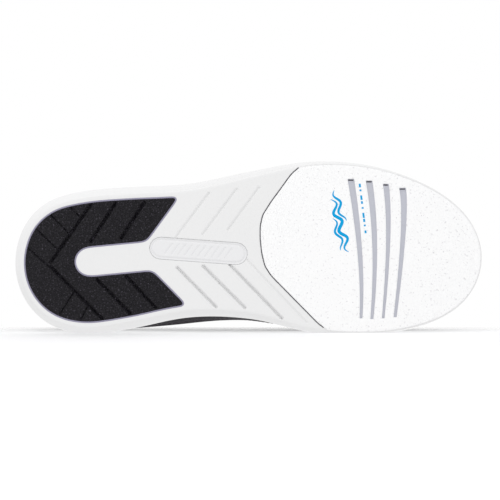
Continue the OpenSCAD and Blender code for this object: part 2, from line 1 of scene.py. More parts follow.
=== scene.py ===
import math
import bpy
import numpy as np
from mathutils import Matrix, Vector
from mathutils.geometry import delaunay_2d_cdt


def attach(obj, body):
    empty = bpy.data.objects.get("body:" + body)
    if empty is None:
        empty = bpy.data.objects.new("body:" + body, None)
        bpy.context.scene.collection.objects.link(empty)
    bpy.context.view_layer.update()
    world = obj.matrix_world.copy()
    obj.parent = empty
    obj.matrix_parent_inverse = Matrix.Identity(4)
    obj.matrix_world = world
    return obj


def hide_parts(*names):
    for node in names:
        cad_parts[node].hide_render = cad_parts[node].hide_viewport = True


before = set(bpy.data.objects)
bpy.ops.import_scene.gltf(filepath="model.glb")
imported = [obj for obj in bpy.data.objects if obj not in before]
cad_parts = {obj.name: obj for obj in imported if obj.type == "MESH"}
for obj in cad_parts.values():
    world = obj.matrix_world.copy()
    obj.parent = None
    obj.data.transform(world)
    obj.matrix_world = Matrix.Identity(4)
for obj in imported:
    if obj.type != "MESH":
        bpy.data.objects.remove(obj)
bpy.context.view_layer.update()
rng = np.random.default_rng(7)

# ---- The shoe's shape: the same tables as the CAD source, in millimetres -------------
LENGTH = 300.0
MIDDLE = 9.5
DRIFT = 3.5
lateral_width = np.array([84, 84, 76, 64, 55, 51, 56.5, 64.5, 69, 71, 73, 75, 75.0])
medial_width = np.array([84, 82, 76.5, 65, 49.5, 37.5, 37.5, 48, 56, 63, 70, 75, 75.0])
rim_height = np.array([29, 29, 28.5, 27.5, 26, 24, 22.5, 21, 20, 20, 20.5, 21.5, 22.0])
bed_height = np.array([17, 17, 16.5, 15.5, 14, 12.5, 11, 10, 9.5, 9.5, 9.5, 9.5, 9.5])
tread_inset = np.array([5, 5, 4.6, 4.4, 4.4, 4.4, 3.8, 2.4, 1.6, 1.4, 1.4, 1.4, 1.4])
opening = np.array([[11, 0, 86], [13, 13, 84.5], [21, 23, 79], [35, 29.5, 72], [56, 32, 69],
                    [84, 30.5, 77], [108, 23, 97], [128, 20, 91], [150, 18, 82],
                    [171, 16, 73.5], [187, 13.5, 67], [196, 8, 63.5], [199, 0, 62.5]], float)
rise = np.array([24, 24, 24, 22, 22, 26, 32, 34, 34, 33, 31, 29, 28.0])
reach = np.array([1, 1, 2, 3, 4, 7, 12, 16, 21, 31, 40, 43, 44.0])
drop = np.array([22, 22, 20, 18, 18, 19, 17, 10, 9, 10, 8, 6, 6.0])
medial_bulge = np.array([3, 3, 4, 7, 12, 16, 15, 9, 6, 4, 3, 1.5, 1])
lateral_bulge = np.array([3, 3, 3, 4, 5, 6, 6, 5, 4, 3, 2, 1, 1.0])
eyelet_angles = [150, 136.5, 124.5, 113, 102, 91]
LEVEL = 0.9
EYELET_HOLE = 3.3
EDGE_SHARE = 0.35
FLIP = np.array([1, -1, 1.0])


def cubic(a, b, c, d, t):
    return 0.5 * (2 * b + (c - a) * t + (2 * a - 5 * b + 4 * c - d) * t ** 2
                  + (3 * b - a - 3 * c + d) * t ** 3)


def table_at(table, angle):
    """Smooth value of a table with one entry for each 15 degrees of a half turn."""
    flip = FLIP if table.ndim == 2 else 1
    full = np.concatenate([[table[1] * flip], table, [table[11] * flip]])
    angle = np.asarray(angle, float)
    i = np.minimum(np.floor(angle / 15), 11).astype(int)
    t = angle / 15 - i
    if table.ndim == 2:
        t = t[..., None]
    return cubic(full[i], full[i + 1], full[i + 2], full[i + 3], t)


def along_at(points, place):
    points = np.asarray(points, float)
    n = len(points) - 1
    place = np.asarray(place, float)
    i = np.clip(np.floor(place), 0, n - 1).astype(int)
    t = (place - i)[..., None]
    return cubic(points[np.maximum(i - 1, 0)], points[i], points[i + 1],
                 points[np.minimum(i + 2, n)], t)


def unit(v):
    return v / np.maximum(np.linalg.norm(v, axis=-1, keepdims=True), 1e-12)


def smooth(t):
    t = np.clip(t, 0, 1)
    return t * t * (3 - 2 * t)


def half_turn(angle):
    a = np.mod(angle, 360)
    return np.where(a <= 180, a, 360 - a)


def is_medial(angle):
    return np.mod(angle, 360) <= 180


def plan(s, side):
    s, side = np.broadcast_arrays(np.asarray(s, float), np.asarray(side, float))
    return np.stack([MIDDLE - side, LENGTH / 2 - s], -1)


def edge(angle):
    angle = np.asarray(angle, float)
    a = half_turn(angle)
    s = LENGTH / 2 * (1 - np.cos(np.radians(a)))
    m = is_medial(angle)
    half = np.where(m, table_at(medial_width, a), table_at(lateral_width, a))
    half = half * np.sin(np.radians(a))
    return plan(s, DRIFT * s / LENGTH + np.where(m, -half, half))


def edge_normal(angle):
    d = unit(edge(angle + 1) - edge(angle - 1))
    return np.stack([-d[..., 1], d[..., 0]], -1)


def inset(angle, depth):
    angle = np.asarray(angle, float)
    depth = np.asarray(depth, float)[..., None] if np.ndim(depth) else depth
    return edge(angle) - depth * edge_normal(angle)


def ground(y):
    s = LENGTH / 2 - np.asarray(y, float)
    toe = 13 * (np.maximum(s - 200, 0) / 100) ** 2
    heel = 1.5 * (np.maximum(16 - s, 0) / 16) ** 2
    return toe + heel


def bed(y):
    turn = np.degrees(np.arccos(np.clip(2 * np.asarray(y, float) / LENGTH, -1, 1)))
    return ground(y) + table_at(bed_height, turn)


def rim(angle):
    return table_at(rim_height, half_turn(angle))


def tread_edge(angle):
    return table_at(tread_inset, half_turn(angle))


def level(angle, depth, height):
    p = inset(angle, depth)
    return np.concatenate([p, (ground(p[..., 1]) + height)[..., None]], -1)


def upper(u, v):
    """Places on the upper's outer face: u is a turn round the shoe, v runs from the rim
    (0) to the opening (1)."""
    u, v = np.broadcast_arrays(np.asarray(u, float), np.asarray(v, float))
    a = half_turn(u)
    o = table_at(opening, a)
    c = 3 * (o[..., 0] / 200) ** 2
    m = is_medial(u)
    top = np.concatenate([plan(o[..., 0], c + np.where(m, -o[..., 1], o[..., 1])),
                          o[..., 2:3]], -1)
    foot = level(u, 5.6, rim(u) - 1)
    out = unit(foot[..., :2] - top[..., :2])
    bulge = np.where(m, table_at(medial_bulge, a), table_at(lateral_bulge, a))[..., None]
    side = bulge * edge_normal(u)
    zero = np.zeros_like(v)[..., None]
    p1 = foot + np.concatenate([side, table_at(rise, a)[..., None]], -1)
    p2 = top + np.concatenate([out * table_at(reach, a)[..., None] + side,
                               -table_at(drop, a)[..., None]], -1)
    t = np.clip(v, 0, None)[..., None]
    curve = (foot * (1 - t) ** 3 + p1 * 3 * t * (1 - t) ** 2
             + p2 * 3 * t * t * (1 - t) + top * t ** 3)
    down = np.concatenate([zero, zero, (np.minimum(v, 0) / 0.12
                           * (foot[..., 2] - bed(foot[..., 1]) - 0.6))[..., None]], -1)
    return curve + down


def normal_of(place, u, v):
    du = place(u + 0.4, v) - place(u - 0.4, v)
    dv = place(u, v + 0.004) - place(u, v - 0.004)
    return unit(np.cross(dv, du))


def off_upper(u, v, h):
    return upper(u, v) + np.asarray(h)[..., None] * normal_of(upper, u, v)


TONGUE_FRONT, TONGUE_BACK, TONGUE_DROP, TONGUE_TIP = 168.0, 88.0, 5.9, 22.0
TONGUE_STEPS = 16


def tongue_rows():
    """Places across the tongue, wing to wing, at each of its turns."""
    turns = np.linspace(TONGUE_FRONT, TONGUE_BACK, TONGUE_STEPS + 1)

    def under(u, v):
        return upper(u, v) - TONGUE_DROP * normal_of(upper, u, np.minimum(v, 0.995))

    wing, rim_level = 0.87 + 0.06 * smooth((turns - 148) / 20), np.ones(len(turns))
    lateral, medial = under(-turns, rim_level), under(turns, rim_level)
    half = np.linalg.norm(medial - lateral, axis=-1, keepdims=True) / 2
    middle = (lateral + medial) / 2 + np.array([0, 0.02, 0.2]) * half
    return np.stack([under(-turns, wing), lateral, middle, medial, under(turns, wing)], 1)


ROWS = tongue_rows()
WAY = unit(np.array([0, 0.82, 0.57]))


def on_tongue(u, v):
    """Places on the tongue: u runs from its base (0) over its turns (1) to its tip (1.3)."""
    u, v = np.broadcast_arrays(np.asarray(u, float), np.asarray(v, float))
    columns = [along_at(ROWS[:, k], np.minimum(u, 1) * TONGUE_STEPS) for k in range(5)]
    t = np.maximum((u - 1) / 0.3, 0)[..., None]
    mid = columns[2]
    out = []
    for c in columns:
        d = (c - mid) * (1 - 0.3 * t)
        d = np.stack([d[..., 0], d[..., 1] * (1 - 0.5 * t[..., 0]),
                      d[..., 2] * (1 - 0.6 * np.minimum(t[..., 0] * 1.6, 1))], -1)
        out.append(mid + np.where(t > 0, d, c - mid) + WAY * TONGUE_TIP * t
                   + np.array([0, 0, 2.0]) * t * t)
    a = 2 + 2 * v
    i = np.clip(np.floor(a), 0, 3).astype(int)
    f = (a - i)[..., None]
    g = np.stack(out, 0)

    def pick(k):
        return np.take_along_axis(g, np.clip(k, 0, 4)[None, ..., None], 0)[0]

    return cubic(pick(i - 1), pick(i), pick(i + 1), pick(i + 2), f)


def place_tongue(u, v):
    return on_tongue(np.asarray(u, float) / 100, v)


def off_tongue(u, v, h):
    return on_tongue(u, v) + h * normal_of(place_tongue, 100 * u, v)


# ---- Materials ------------------------------------------------------------------------
def material(name, color, rough, pattern, scale, depth, color2, specks_and_glints=None, sheen=0.0,
             uv=False, metal=0.0, patch=40.0, spec=0.3):
    """A procedural material. pattern names its fine relief and depth is in metres. color2
    mixes in where the relief is low, with a broader noise; where color2 is darker, that is
    painted shade in the relief's hollows. Where the speck level is given, with how sharply,
    color2 shows only above that level of the noise: real spots on the slide pad, painted
    highlights on the heel rubber."""
    m = bpy.data.materials.new(name)
    m.use_nodes = True
    nodes, links = m.node_tree.nodes, m.node_tree.links
    shader = nodes["Principled BSDF"]
    shader.inputs["Base Color"].default_value = (*color, 1)
    shader.inputs["Roughness"].default_value = rough
    shader.inputs["Metallic"].default_value = metal
    shader.inputs["Specular IOR Level"].default_value = spec
    if sheen:
        shader.inputs["Sheen Weight"].default_value = sheen
        shader.inputs["Sheen Roughness"].default_value = 0.4
    place = nodes.new("ShaderNodeTexCoord").outputs["UV" if uv else "Object"]

    def noise(size, detail):
        t = nodes.new("ShaderNodeTexNoise")
        t.inputs["Scale"].default_value = size
        t.inputs["Detail"].default_value = detail
        links.new(place, t.inputs["Vector"])
        return t.outputs["Fac"]

    def cells(size, feature="F1"):
        t = nodes.new("ShaderNodeTexVoronoi")
        t.feature = feature
        t.inputs["Scale"].default_value = size
        if feature == "SMOOTH_F1":
            t.inputs["Smoothness"].default_value = 0.35
        links.new(place, t.inputs["Vector"])
        return t.outputs["Distance"]

    def maths(op, *values):
        t = nodes.new("ShaderNodeMath")
        t.operation = op
        for i, x in enumerate(values):
            if isinstance(x, (int, float)):
                t.inputs[i].default_value = x
            else:
                links.new(x, t.inputs[i])
        return t.outputs[0]

    def threads():
        split = nodes.new("ShaderNodeSeparateXYZ")
        links.new(place, split.inputs[0])
        x, y = split.outputs[0], split.outputs[1]
        k = 2 * math.pi * scale
        if pattern == "weave":
            a = maths("SINE", maths("MULTIPLY", maths("ADD", x, y), k))
            b = maths("SINE", maths("MULTIPLY", maths("SUBTRACT", x, y), k))
            return maths("ABSOLUTE", maths("MULTIPLY", a, b))
        row = maths("ABSOLUTE", maths("SINE", maths("MULTIPLY", y, k * 0.5)))
        a = maths("SINE", maths("ADD", maths("MULTIPLY", x, k), maths("MULTIPLY", row, 1.6)))
        return maths("MULTIPLY", maths("ABSOLUTE", a), maths("POWER", row, 0.5))

    if pattern == "pebble":
        height = maths("SUBTRACT", 1.0, cells(scale, "SMOOTH_F1"))
    elif pattern == "felt":
        height = maths("ADD", noise(scale, 6.0), maths("MULTIPLY", noise(scale * 0.3, 2.0), 0.7))
    elif pattern == "grain":
        height = maths("ADD", noise(scale, 4.0), maths("MULTIPLY", cells(scale * 0.5), 0.6))
    else:
        height = threads()
    bump = nodes.new("ShaderNodeBump")
    bump.inputs["Strength"].default_value = 1.0
    bump.inputs["Distance"].default_value = depth
    links.new(height, bump.inputs["Height"])
    links.new(bump.outputs["Normal"], shader.inputs["Normal"])
    if specks_and_glints:
        # Spots of color2 above a noise level: real fibre spots on the slide pad, painted
        # highlights on the heel rubber.
        share = maths("MULTIPLY", maths("SUBTRACT", noise(patch, 2.0), specks_and_glints[0]), specks_and_glints[1])
    else:
        # color2 where the relief is low: painted shade in the hollows wherever color2 is darker
        # than color.
        share = maths("MULTIPLY_ADD", maths("SUBTRACT", 1.0, height), 0.6,
                      maths("MULTIPLY", noise(patch, 4.0), 0.4))
    clamp = nodes.new("ShaderNodeClamp")
    mix = nodes.new("ShaderNodeMix")
    mix.data_type = "RGBA"
    mix.inputs["A"].default_value = (*color, 1)
    mix.inputs["B"].default_value = (*color2, 1)
    links.new(share, clamp.inputs["Value"])
    links.new(clamp.outputs[0], mix.inputs["Factor"])
    links.new(mix.outputs["Result"], shader.inputs["Base Color"])
    return m


WHITE = (0.81, 0.81, 0.812)
M = {
    "sole": material("sole_white", WHITE, 0.6, "grain", 1500, 0.00006, (0.775, 0.775, 0.78)),
    "foam": material("midsole_white", WHITE, 0.65, "grain", 1100, 0.00009, (0.77, 0.77, 0.775)),
    # The heel rubber's lighter color2 spots are painted highlights on its pebble grain.
    "heel": material("heel_rubber", (0.004, 0.003, 0.006), 0.42, "pebble", 1000, 0.0014,
                     (0.085, 0.076, 0.1), specks_and_glints=(0.59, 6.0), patch=1000, spec=0.25),
    "slide": material("slide_microfibre", (0.975, 0.975, 0.98), 0.95, "felt", 2600, 0.00035,
                      (0.7, 0.69, 0.71), specks_and_glints=(0.61, 7.0), patch=760, spec=0.05),
    "backing": material("slide_backing", (0.56, 0.57, 0.63), 0.9, "felt", 2200, 0.0002,
                        (0.48, 0.49, 0.55), patch=400, spec=0.05),
    # Lavender-grey for the ring round the heel pad: a painted highlight of the pad's edge bevel.
    "painted_edge_highlight": material("pad_outline", (0.30, 0.285, 0.38), 0.6, "grain", 1500, 0.00005,
                       (0.25, 0.24, 0.33)),
    # Near-black for painted shade: the slot ends' shadow and the slide pad's rear gap.
    "dark": material("painted_gap_shade", (0.06, 0.055, 0.07), 0.7, "grain", 1500, 0.00005,
                     (0.08, 0.075, 0.09), spec=0.1),
    "blue": material("printed_blue", (0.0, 0.33, 0.68), 0.6, "felt", 2600, 0.0001,
                     (0.0, 0.38, 0.74), patch=900, spec=0.1),
    "badge": material("badge_gloss", (0.80, 0.80, 0.81), 0.45, "grain", 900, 0.00003,
                      (0.77, 0.77, 0.785)),
    "knit": material("upper_knit", (0.036, 0.028, 0.038), 0.9, "knit", 620, 0.00055,
                     (0.008, 0.006, 0.009), sheen=0.05, uv=True, patch=500, spec=0.08),
    "tongue": material("tongue_knit", (0.034, 0.028, 0.036), 0.92, "knit", 450, 0.0007,
                       (0.006, 0.005, 0.006), sheen=0.05, uv=True, patch=500, spec=0.08),
    "lining": material("lining_mesh", (0.035, 0.034, 0.040), 0.95, "weave", 330, 0.0003,
                       (0.018, 0.018, 0.022), sheen=0.05, uv=True, patch=500, spec=0.06),
    "sock": material("sockliner_fabric", (0.035, 0.035, 0.042), 0.95, "weave", 300, 0.00025,
                     (0.018, 0.018, 0.022), sheen=0.04, uv=True, patch=500, spec=0.06),
    "overlay": material("overlay_synthetic", (0.013, 0.011, 0.014), 0.55, "grain", 1300,
                        0.00015, (0.021, 0.018, 0.023), patch=200, spec=0.11),
    "webbing": material("webbing", (0.012, 0.011, 0.013), 0.85, "weave", 420, 0.0003,
                        (0.026, 0.024, 0.027), uv=True, patch=500, spec=0.12),
    "lace": material("lace_braid", (0.030, 0.028, 0.032), 0.85, "weave", 480, 0.0003,
                     (0.010, 0.009, 0.011), sheen=0.05, uv=True, patch=500, spec=0.1),
    "metal": material("eyelet_metal", (0.05, 0.05, 0.055), 0.35, "grain", 1500, 0.00001,
                      (0.07, 0.07, 0.075), metal=0.8),
    "aglet": material("aglet_plastic", (0.012, 0.012, 0.013), 0.25, "grain", 700, 0.00001,
                      (0.016, 0.016, 0.017), spec=0.4),
    "thread": material("thread", (0.11, 0.10, 0.115), 0.75, "grain", 3000, 0.00004,
                       (0.04, 0.036, 0.044), spec=0.1),
    "board": material("board", (0.35, 0.27, 0.17), 0.85, "grain", 900, 0.0001,
                      (0.30, 0.23, 0.14)),
    "stiff": material("stiffener", (0.5, 0.48, 0.42), 0.7, "grain", 900, 0.0001,
                      (0.45, 0.43, 0.37)),
}


# ---- Mesh helpers -----------------------------------------------------------------------
def show(ob):
    bpy.context.scene.collection.objects.link(ob)
    return ob


def emit(name, verts, faces, mat, slot, body="shoe", replaces=(), uvs=None, flat=False):
    """Makes a piece from places in millimetres."""
    me = bpy.data.meshes.new(name)
    me.from_pydata((np.asarray(verts, float) / 1000).tolist(), [],
                   [list(map(int, f)) for f in faces])
    if uvs is not None:
        layer = me.uv_layers.new(name="UVMap")
        idx = np.empty(len(me.loops), int)
        me.loops.foreach_get("vertex_index", idx)
        layer.data.foreach_set("uv", (np.asarray(uvs, float)[idx] / 1000).ravel())
    if not flat:
        me.polygons.foreach_set("use_smooth", [True] * len(me.polygons))
    me.materials.append(M[mat])
    me.validate()
    ob = show(bpy.data.objects.new(name, me))
    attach(ob, body)
    if replaces:
        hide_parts(*replaces)
    return ob


def arcs(places, axis=0):
    """Distances run along one direction of a line or grid of places."""
    steps = np.linalg.norm(np.diff(places, axis=axis), axis=-1)
    return np.insert(np.cumsum(steps, axis), 0, 0, axis)


def grid_faces(nu, nv, flip=False, base=0):
    out = []
    for i in range(nu - 1):
        for j in range(nv - 1):
            a = base + i * nv + j
            f = [a, a + nv, a + nv + 1, a + 1]
            out.append(f[::-1] if flip else f)
    return out


def grid_uv(grid):
    x, y = arcs(grid).mean(1), arcs(grid, 1)
    return np.stack([np.repeat(x[:, None], grid.shape[1], 1), y], -1).reshape(-1, 2)


def closed_sheet(nu, nv, gone=None):
    """Faces of one grid of places over another, joined all round, less the places gone."""
    m = nu * nv
    faces = grid_faces(nu, nv) + grid_faces(nu, nv, flip=True, base=m)
    if gone is not None:
        faces = [f for f in faces if not any(gone[k % m] for k in f)]
    for i in range(nu - 1):
        a, b = i * nv, (i + 1) * nv
        c, d = a + nv - 1, b + nv - 1
        faces += [[b, a, m + a, m + b], [c, d, m + d, m + c]]
    for j in range(nv - 1):
        a, b = j, m - nv + j
        faces += [[a, a + 1, m + a + 1, m + a], [b + 1, b, m + b, m + b + 1]]
    return faces


def tube_faces(m, n, wrap=False):
    """Faces between m rings of n places. wrap joins the last ring to the first."""
    out = []
    for i in range(m if wrap else m - 1):
        low, high = i * n, (i + 1) % m * n
        out += [[low + a, low + (a + 1) % n, high + (a + 1) % n, high + a] for a in range(n)]
    return out


def closed_rings(rings):
    """Places and faces of a stack of rings, closed at both ends."""
    m, n = len(rings), len(rings[0])
    ends = [list(range(n))[::-1], [(m - 1) * n + i for i in range(n)]]
    return np.concatenate(rings), tube_faces(m, n) + ends


def circle(q, x, y):
    return np.cos(q)[:, None] * x + np.sin(q)[:, None] * y


def join(parts):
    verts, faces, base = [], [], 0
    for v, f in parts:
        verts.append(v)
        faces += [[k + base for k in q] for q in f]
        base += len(v)
    return np.concatenate(verts), faces


def fine(lo, hi, step, edge_w):
    """Values from lo to hi, closer together near both ends."""
    n = max(int(round((hi - lo) / step)), 2)
    mid = np.linspace(lo, hi, n + 1)
    e = edge_w * np.array([0.08, 0.25, 0.5, 0.8])
    return np.concatenate([[lo], lo + e, mid[(mid > lo + edge_w) & (mid < hi - edge_w)],
                           hi - e[::-1], [hi]])


def near_eyelets(places, turns):
    centres = np.array([upper(a, LEVEL) for a in turns])
    gaps = np.linalg.norm(places.reshape(-1, 1, 3) - centres[None], axis=-1)
    return (gaps < EYELET_HOLE).any(1)


def patch(name, us, vs, place, low, high, mat, slot, replaces=(), body="shoe", round_mm=1.0,
          warp=None, holes=(), ends=(1, 1, 1, 1)):
    """A closed sheet over a surface, between two heights, rounded at the ends that are set:
    first and last u, first and last v. warp maps the (u, v) grid to the surface's own, and
    holes are the turns of the eyelets that pass through it."""
    U, V = np.meshgrid(us, vs, indexing="ij")
    if warp:
        U, V = warp(U, V)
    base, normal = place(U, V), normal_of(place, U, V)
    along, across = arcs(base), arcs(base, 1)
    gaps = [along, along[-1:] - along, across, across[:, -1:] - across]
    gap = np.minimum.reduce([g for g, rounded in zip(gaps, ends) if rounded])
    t = np.clip(gap / round_mm, 0, 1)
    lift = EDGE_SHARE + (1 - EDGE_SHARE) * np.sqrt(np.clip(1 - (1 - t) ** 2, 0, 1))
    outer = base + normal * (low + (high - low) * lift)[..., None]
    inner = base + normal * low
    verts = np.concatenate([outer.reshape(-1, 3), inner.reshape(-1, 3)])
    faces = closed_sheet(*U.shape, near_eyelets(base, holes) if holes else None)
    return emit(name, verts, faces, mat, slot, body, replaces,
                np.concatenate([grid_uv(base)] * 2))


# ---- Plan outlines ----------------------------------------------------------------------
def resample(loop, step):
    """The closed outline with points added along its sides."""
    closed = np.concatenate([loop, loop[:1]])
    seg = np.linalg.norm(np.diff(closed, axis=0), axis=1)
    out = []
    for i, s in enumerate(seg):
        n = max(int(math.ceil(s / step)), 1)
        out += [closed[i] + (closed[i + 1] - closed[i]) * k / n for k in range(n)]
    return np.array(out)


def grow(loop, d):
    """Moves a closed outline outwards by d."""
    x, y = loop[:, 0], loop[:, 1]
    turns_left = np.sum(x * np.roll(y, -1) - np.roll(x, -1) * y) > 0
    t = unit(np.roll(loop, -1, 0) - np.roll(loop, 1, 0))
    return loop + d * (1 if turns_left else -1) * np.stack([t[:, 1], -t[:, 0]], -1)


def inside(points, loop):
    x, y = points[:, 0], points[:, 1]
    c = np.zeros(len(points), bool)
    for a, b in zip(loop, np.roll(loop, -1, 0)):
        cross = (a[1] > y) != (b[1] > y)
        if abs(b[1] - a[1]) > 1e-12:
            c ^= cross & (x < (b[0] - a[0]) * (y - a[1]) / (b[1] - a[1]) + a[0])
    return c


def within(points, loops):
    """Whether places are inside the first outline and outside all the others."""
    ok = inside(points, loops[0])
    for hole in loops[1:]:
        ok &= ~inside(points, hole)
    return ok


def distance(points, line, closed=True):
    a = line if closed else line[:-1]
    b = np.roll(line, -1, 0) if closed else line[1:]
    best = np.full(len(points), 1e9)
    for p, q in zip(a, b):
        d = q - p
        t = np.clip(((points - p) @ d) / max(d @ d, 1e-12), 0, 1)
        best = np.minimum(best, np.linalg.norm(points - (p + t[:, None] * d), axis=1))
    return best


def edge_gap(points, loops):
    return np.minimum.reduce([distance(points, loop) for loop in loops])


def line_mm(a, b, step=1.5):
    a, b = plan(*a), plan(*b)
    n = max(int(np.linalg.norm(b - a) / step), 2)
    return np.array([a + (b - a) * k / n for k in range(n + 1)])


def ways_of(line):
    """Unit directions along an open line, and square to it."""
    t = unit(np.gradient(line, axis=0))
    return t, np.stack([-t[:, 1], t[:, 0]], -1)


def capsule(line, r):
    """Outline round an open line."""
    t, n = ways_of(line)
    q = np.linspace(0, math.pi, 9)[1:-1]
    end = line[-1] + r * circle(q, n[-1], t[-1])
    start = line[0] - r * circle(q, n[0], t[0])
    return np.concatenate([line + n * r, end, (line - n * r)[::-1], start])


def spread(lo, hi, step):
    """Places of a square grid over a box."""
    x, y = np.meshgrid(np.arange(lo[0], hi[0], step), np.arange(lo[1], hi[1], step))
    return np.stack([x.ravel(), y.ravel()], -1)


def triangles(points, edges, kind):
    """Places and triangles of a plan that keeps the edges."""
    res = delaunay_2d_cdt([Vector(p) for p in points], edges, [], kind, 1e-5)
    return np.array([tuple(p) for p in res[0]]), np.array([f for f in res[2] if len(f) == 3])


def facing(points, faces, up):
    """The triangles, all turned to face up or down."""
    tri = points[faces]
    left = np.cross(tri[:, 1] - tri[:, 0], tri[:, 2] - tri[:, 0]) > 0
    return np.where((left == up)[:, None], faces, faces[:, ::-1]).tolist()


def open_edges(faces):
    """The directed edges of triangles that no neighbour shares."""
    edges = dict.fromkeys((f[i], f[(i + 1) % 3]) for f in faces for i in range(3))
    return [(a, b) for a, b in edges if (b, a) not in edges]


def rounding(e, r, h):
    """Height lost near an edge, at a distance e from it."""
    t = np.clip(e / r, 0, 1)
    return h * (1 - np.sqrt(np.clip(1 - (1 - t) ** 2, 0, 1)))


def domed(height, radius=1.0, loss=0.0):
    return lambda places, gap: height + rounding(gap, radius, loss)


def plate(name, outline, holes, height, back, mat, slot, replaces=(), grooves=(), step=1.1,
          rings=(0.25, 0.7)):
    """A flat moulded piece seen from below: the outline less its holes, open at the back.
    height is a function of its places and their gaps to an edge, rings are distances of
    extra places inside the edges, and grooves are (line, half width, depth)."""
    loops = [resample(loop, step) for loop in [outline] + holes]
    verts, edges = [], []

    def add(loop):
        base, n = len(verts), len(loop)
        verts.extend(loop.tolist())
        edges.extend((base + i, base + (i + 1) % n) for i in range(n))

    for k, loop in enumerate(loops):
        add(loop)
        for r in rings:
            verts.extend(grow(loop, r if k else -r).tolist())
    for line, half, _ in grooves:
        for r in (half * 0.45, half, half + 0.3):
            add(capsule(line, r))
    g = spread(loops[0].min(0), loops[0].max(0), step)
    g = g + (rng.random(g.shape) - 0.5) * step * 0.3
    g = g[within(g, loops)]
    clear = edge_gap(g, loops) > max(rings, default=0) + 0.3
    for line, half, _ in grooves:
        clear &= distance(g, line, False) > half + 0.55
    verts.extend(g[clear].tolist())
    P, T = triangles(verts, edges, 0)
    faces = facing(P, T[within(P[T].mean(1), loops)], False)
    z = height(P, edge_gap(P, loops))
    for line, half, depth in grooves:
        gap = distance(P, line, False)
        z = z + depth * (1 - smooth((gap - half * 0.45) / (half * 0.55 + 0.3)))
    rims = open_edges(faces)
    ends = list(dict.fromkeys(k for edge in rims for k in edge))
    up = {k: len(P) + i for i, k in enumerate(ends)}
    faces += [[b, a, up[a], up[b]] for a, b in rims]
    level_of = ground(P[:, 1])
    verts = np.concatenate([np.column_stack([P, z + level_of]),
                            np.column_stack([P[ends], back + level_of[ends]])])
    return emit(name, verts, faces, mat, slot, "shoe", replaces)


# ---- The camera, square-on to the sole, with the heel to the left ---------------------------
def make_camera():
    data = bpy.data.cameras.new("camera")
    data.lens = 100
    data.sensor_width = 36
    seen_width = 0.315
    away = seen_width * data.lens / data.sensor_width
    cam = show(bpy.data.objects.new("camera", data))
    cam.matrix_world = Matrix(((0, -1, 0, 0.0013), (-1, 0, 0, -0.0003), (0, 0, -1, -away),
                               (0, 0, 0, 1)))
    bpy.context.scene.camera = cam


# ---- Sole outlines ------------------------------------------------------------------------
def even(loop, step):
    """The closed outline with points at equal distances."""
    c = np.concatenate([loop, loop[:1]])
    s = arcs(c)
    n = max(int(s[-1] / step), 8)
    q = np.arange(n) * s[-1] / n
    return np.stack([np.interp(q, s, c[:, 0]), np.interp(q, s, c[:, 1])], -1)


def soften(loop, radius):
    """Rounds an outline's corners by about a radius."""
    loop = even(loop, 0.3)
    k = np.exp(-0.5 * (np.arange(-30, 31) * 0.3 / (radius * 0.6)) ** 2)
    k /= k.sum()
    return sum(w * np.roll(loop, i - 30, 0) for i, w in enumerate(k))


def run_of(loop, keep):
    """The stretch of a closed outline that keep marks."""
    start = [i for i in range(len(loop)) if keep[i] and not keep[i - 1]]
    best = []
    for i in start:
        r = []
        k = i
        while keep[k % len(loop)] and len(r) < len(loop):
            r.append(loop[k % len(loop)])
            k += 1
        if len(r) > len(best):
            best = r
    return np.array(best)


def combine(a, b, cut=False):
    """Outline a inside outline b, or outside it where cut is set."""
    a, b = even(a, 0.3), even(b, 0.3)
    ra = run_of(a, inside(a, b) != cut)
    rb = run_of(b, inside(b, a))
    if np.linalg.norm(ra[-1] - rb[0]) > np.linalg.norm(ra[-1] - rb[-1]):
        rb = rb[::-1]
    return np.concatenate([ra, rb])


def tread_plan(extra):
    a = np.arange(0, 360, 1.5)
    return inset(a, tread_edge(a) + extra)


def shape(points):
    return np.array([plan(*p) for p in points])


HEEL_FRONT = [[-20, 70], [118, 59.5], [85, 14.3], [87.5, -4], [128, -45.3], [-20, -70]]
HEEL_GROOVES = [[[50, 36.7], [24.9, 0.6]], [[65.6, 37.7], [50, 13.6]],
                [[83.7, 38.2], [69.1, 15.6]], [[24.9, -2.5], [57, -35.1]],
                [[54.1, -10.5], [74.6, -31.6]], [[72.6, -8.5], [90.7, -28.1]]]
HEEL_LINES = [[[36.5, 35.7], [42.5, 29.7]], [[24.4, 30.7], [35.5, 19.2]],
              [[15.9, 21.2], [28.9, 8.6]], [[10.8, 9.1], [24.4, -3]],
              [[38.9, -19], [30.4, -32.1]], [[47.5, -28.1], [44, -35.1]]]
SLIDE_REAR = [[320, 90], [200, 90], [183.6, 62], [176.6, 56], [163.5, 38], [158.5, 30],
              [157, 23], [157, 15], [158, 6], [160, -2], [164, -8], [193, -37.5],
              [204, -46], [220, -60], [320, -60]]
FLEX_SLOTS = [[[213.9, 53], [219.7, 5], [220.3, -35], 4.2, 1.8],
              [[225.4, 52], [229, 11], [227.2, -35.5], 4.2, 2],
              [[236.1, 50], [237.6, 15], [234.4, -35], 3.8, 1.7],
              [[246.7, 47.5], [247.2, 19], [242, -34.3], 4.4, 2]]
WAIST_GROOVES = [[[104.5, -3], [128.8, -27.7]], [[120.8, -2], [147, -28.2]],
                 [[137.5, -1], [170.4, -34.9]], [[124.4, 44], [103.5, 16]],
                 [[141.8, 46.5], [120.5, 18]], [[155.9, 47.5], [136.5, 21]]]
BADGE_MIDDLE, BADGE_LENGTH, BADGE_WIDTH, BADGE_TURN = (117.8, 7.6), 62, 14, 4.2


def heel_pad_plan(extra):
    a = np.arange(-110, 110.1, 1)
    pad = combine(inset(a, 8.6), shape(HEEL_FRONT))
    bar = capsule(line_mm((49, 0.8), (92, 4.9)), 9.7)
    pad = soften(combine(pad, bar, cut=True), 4.2)
    return grow(pad, extra)


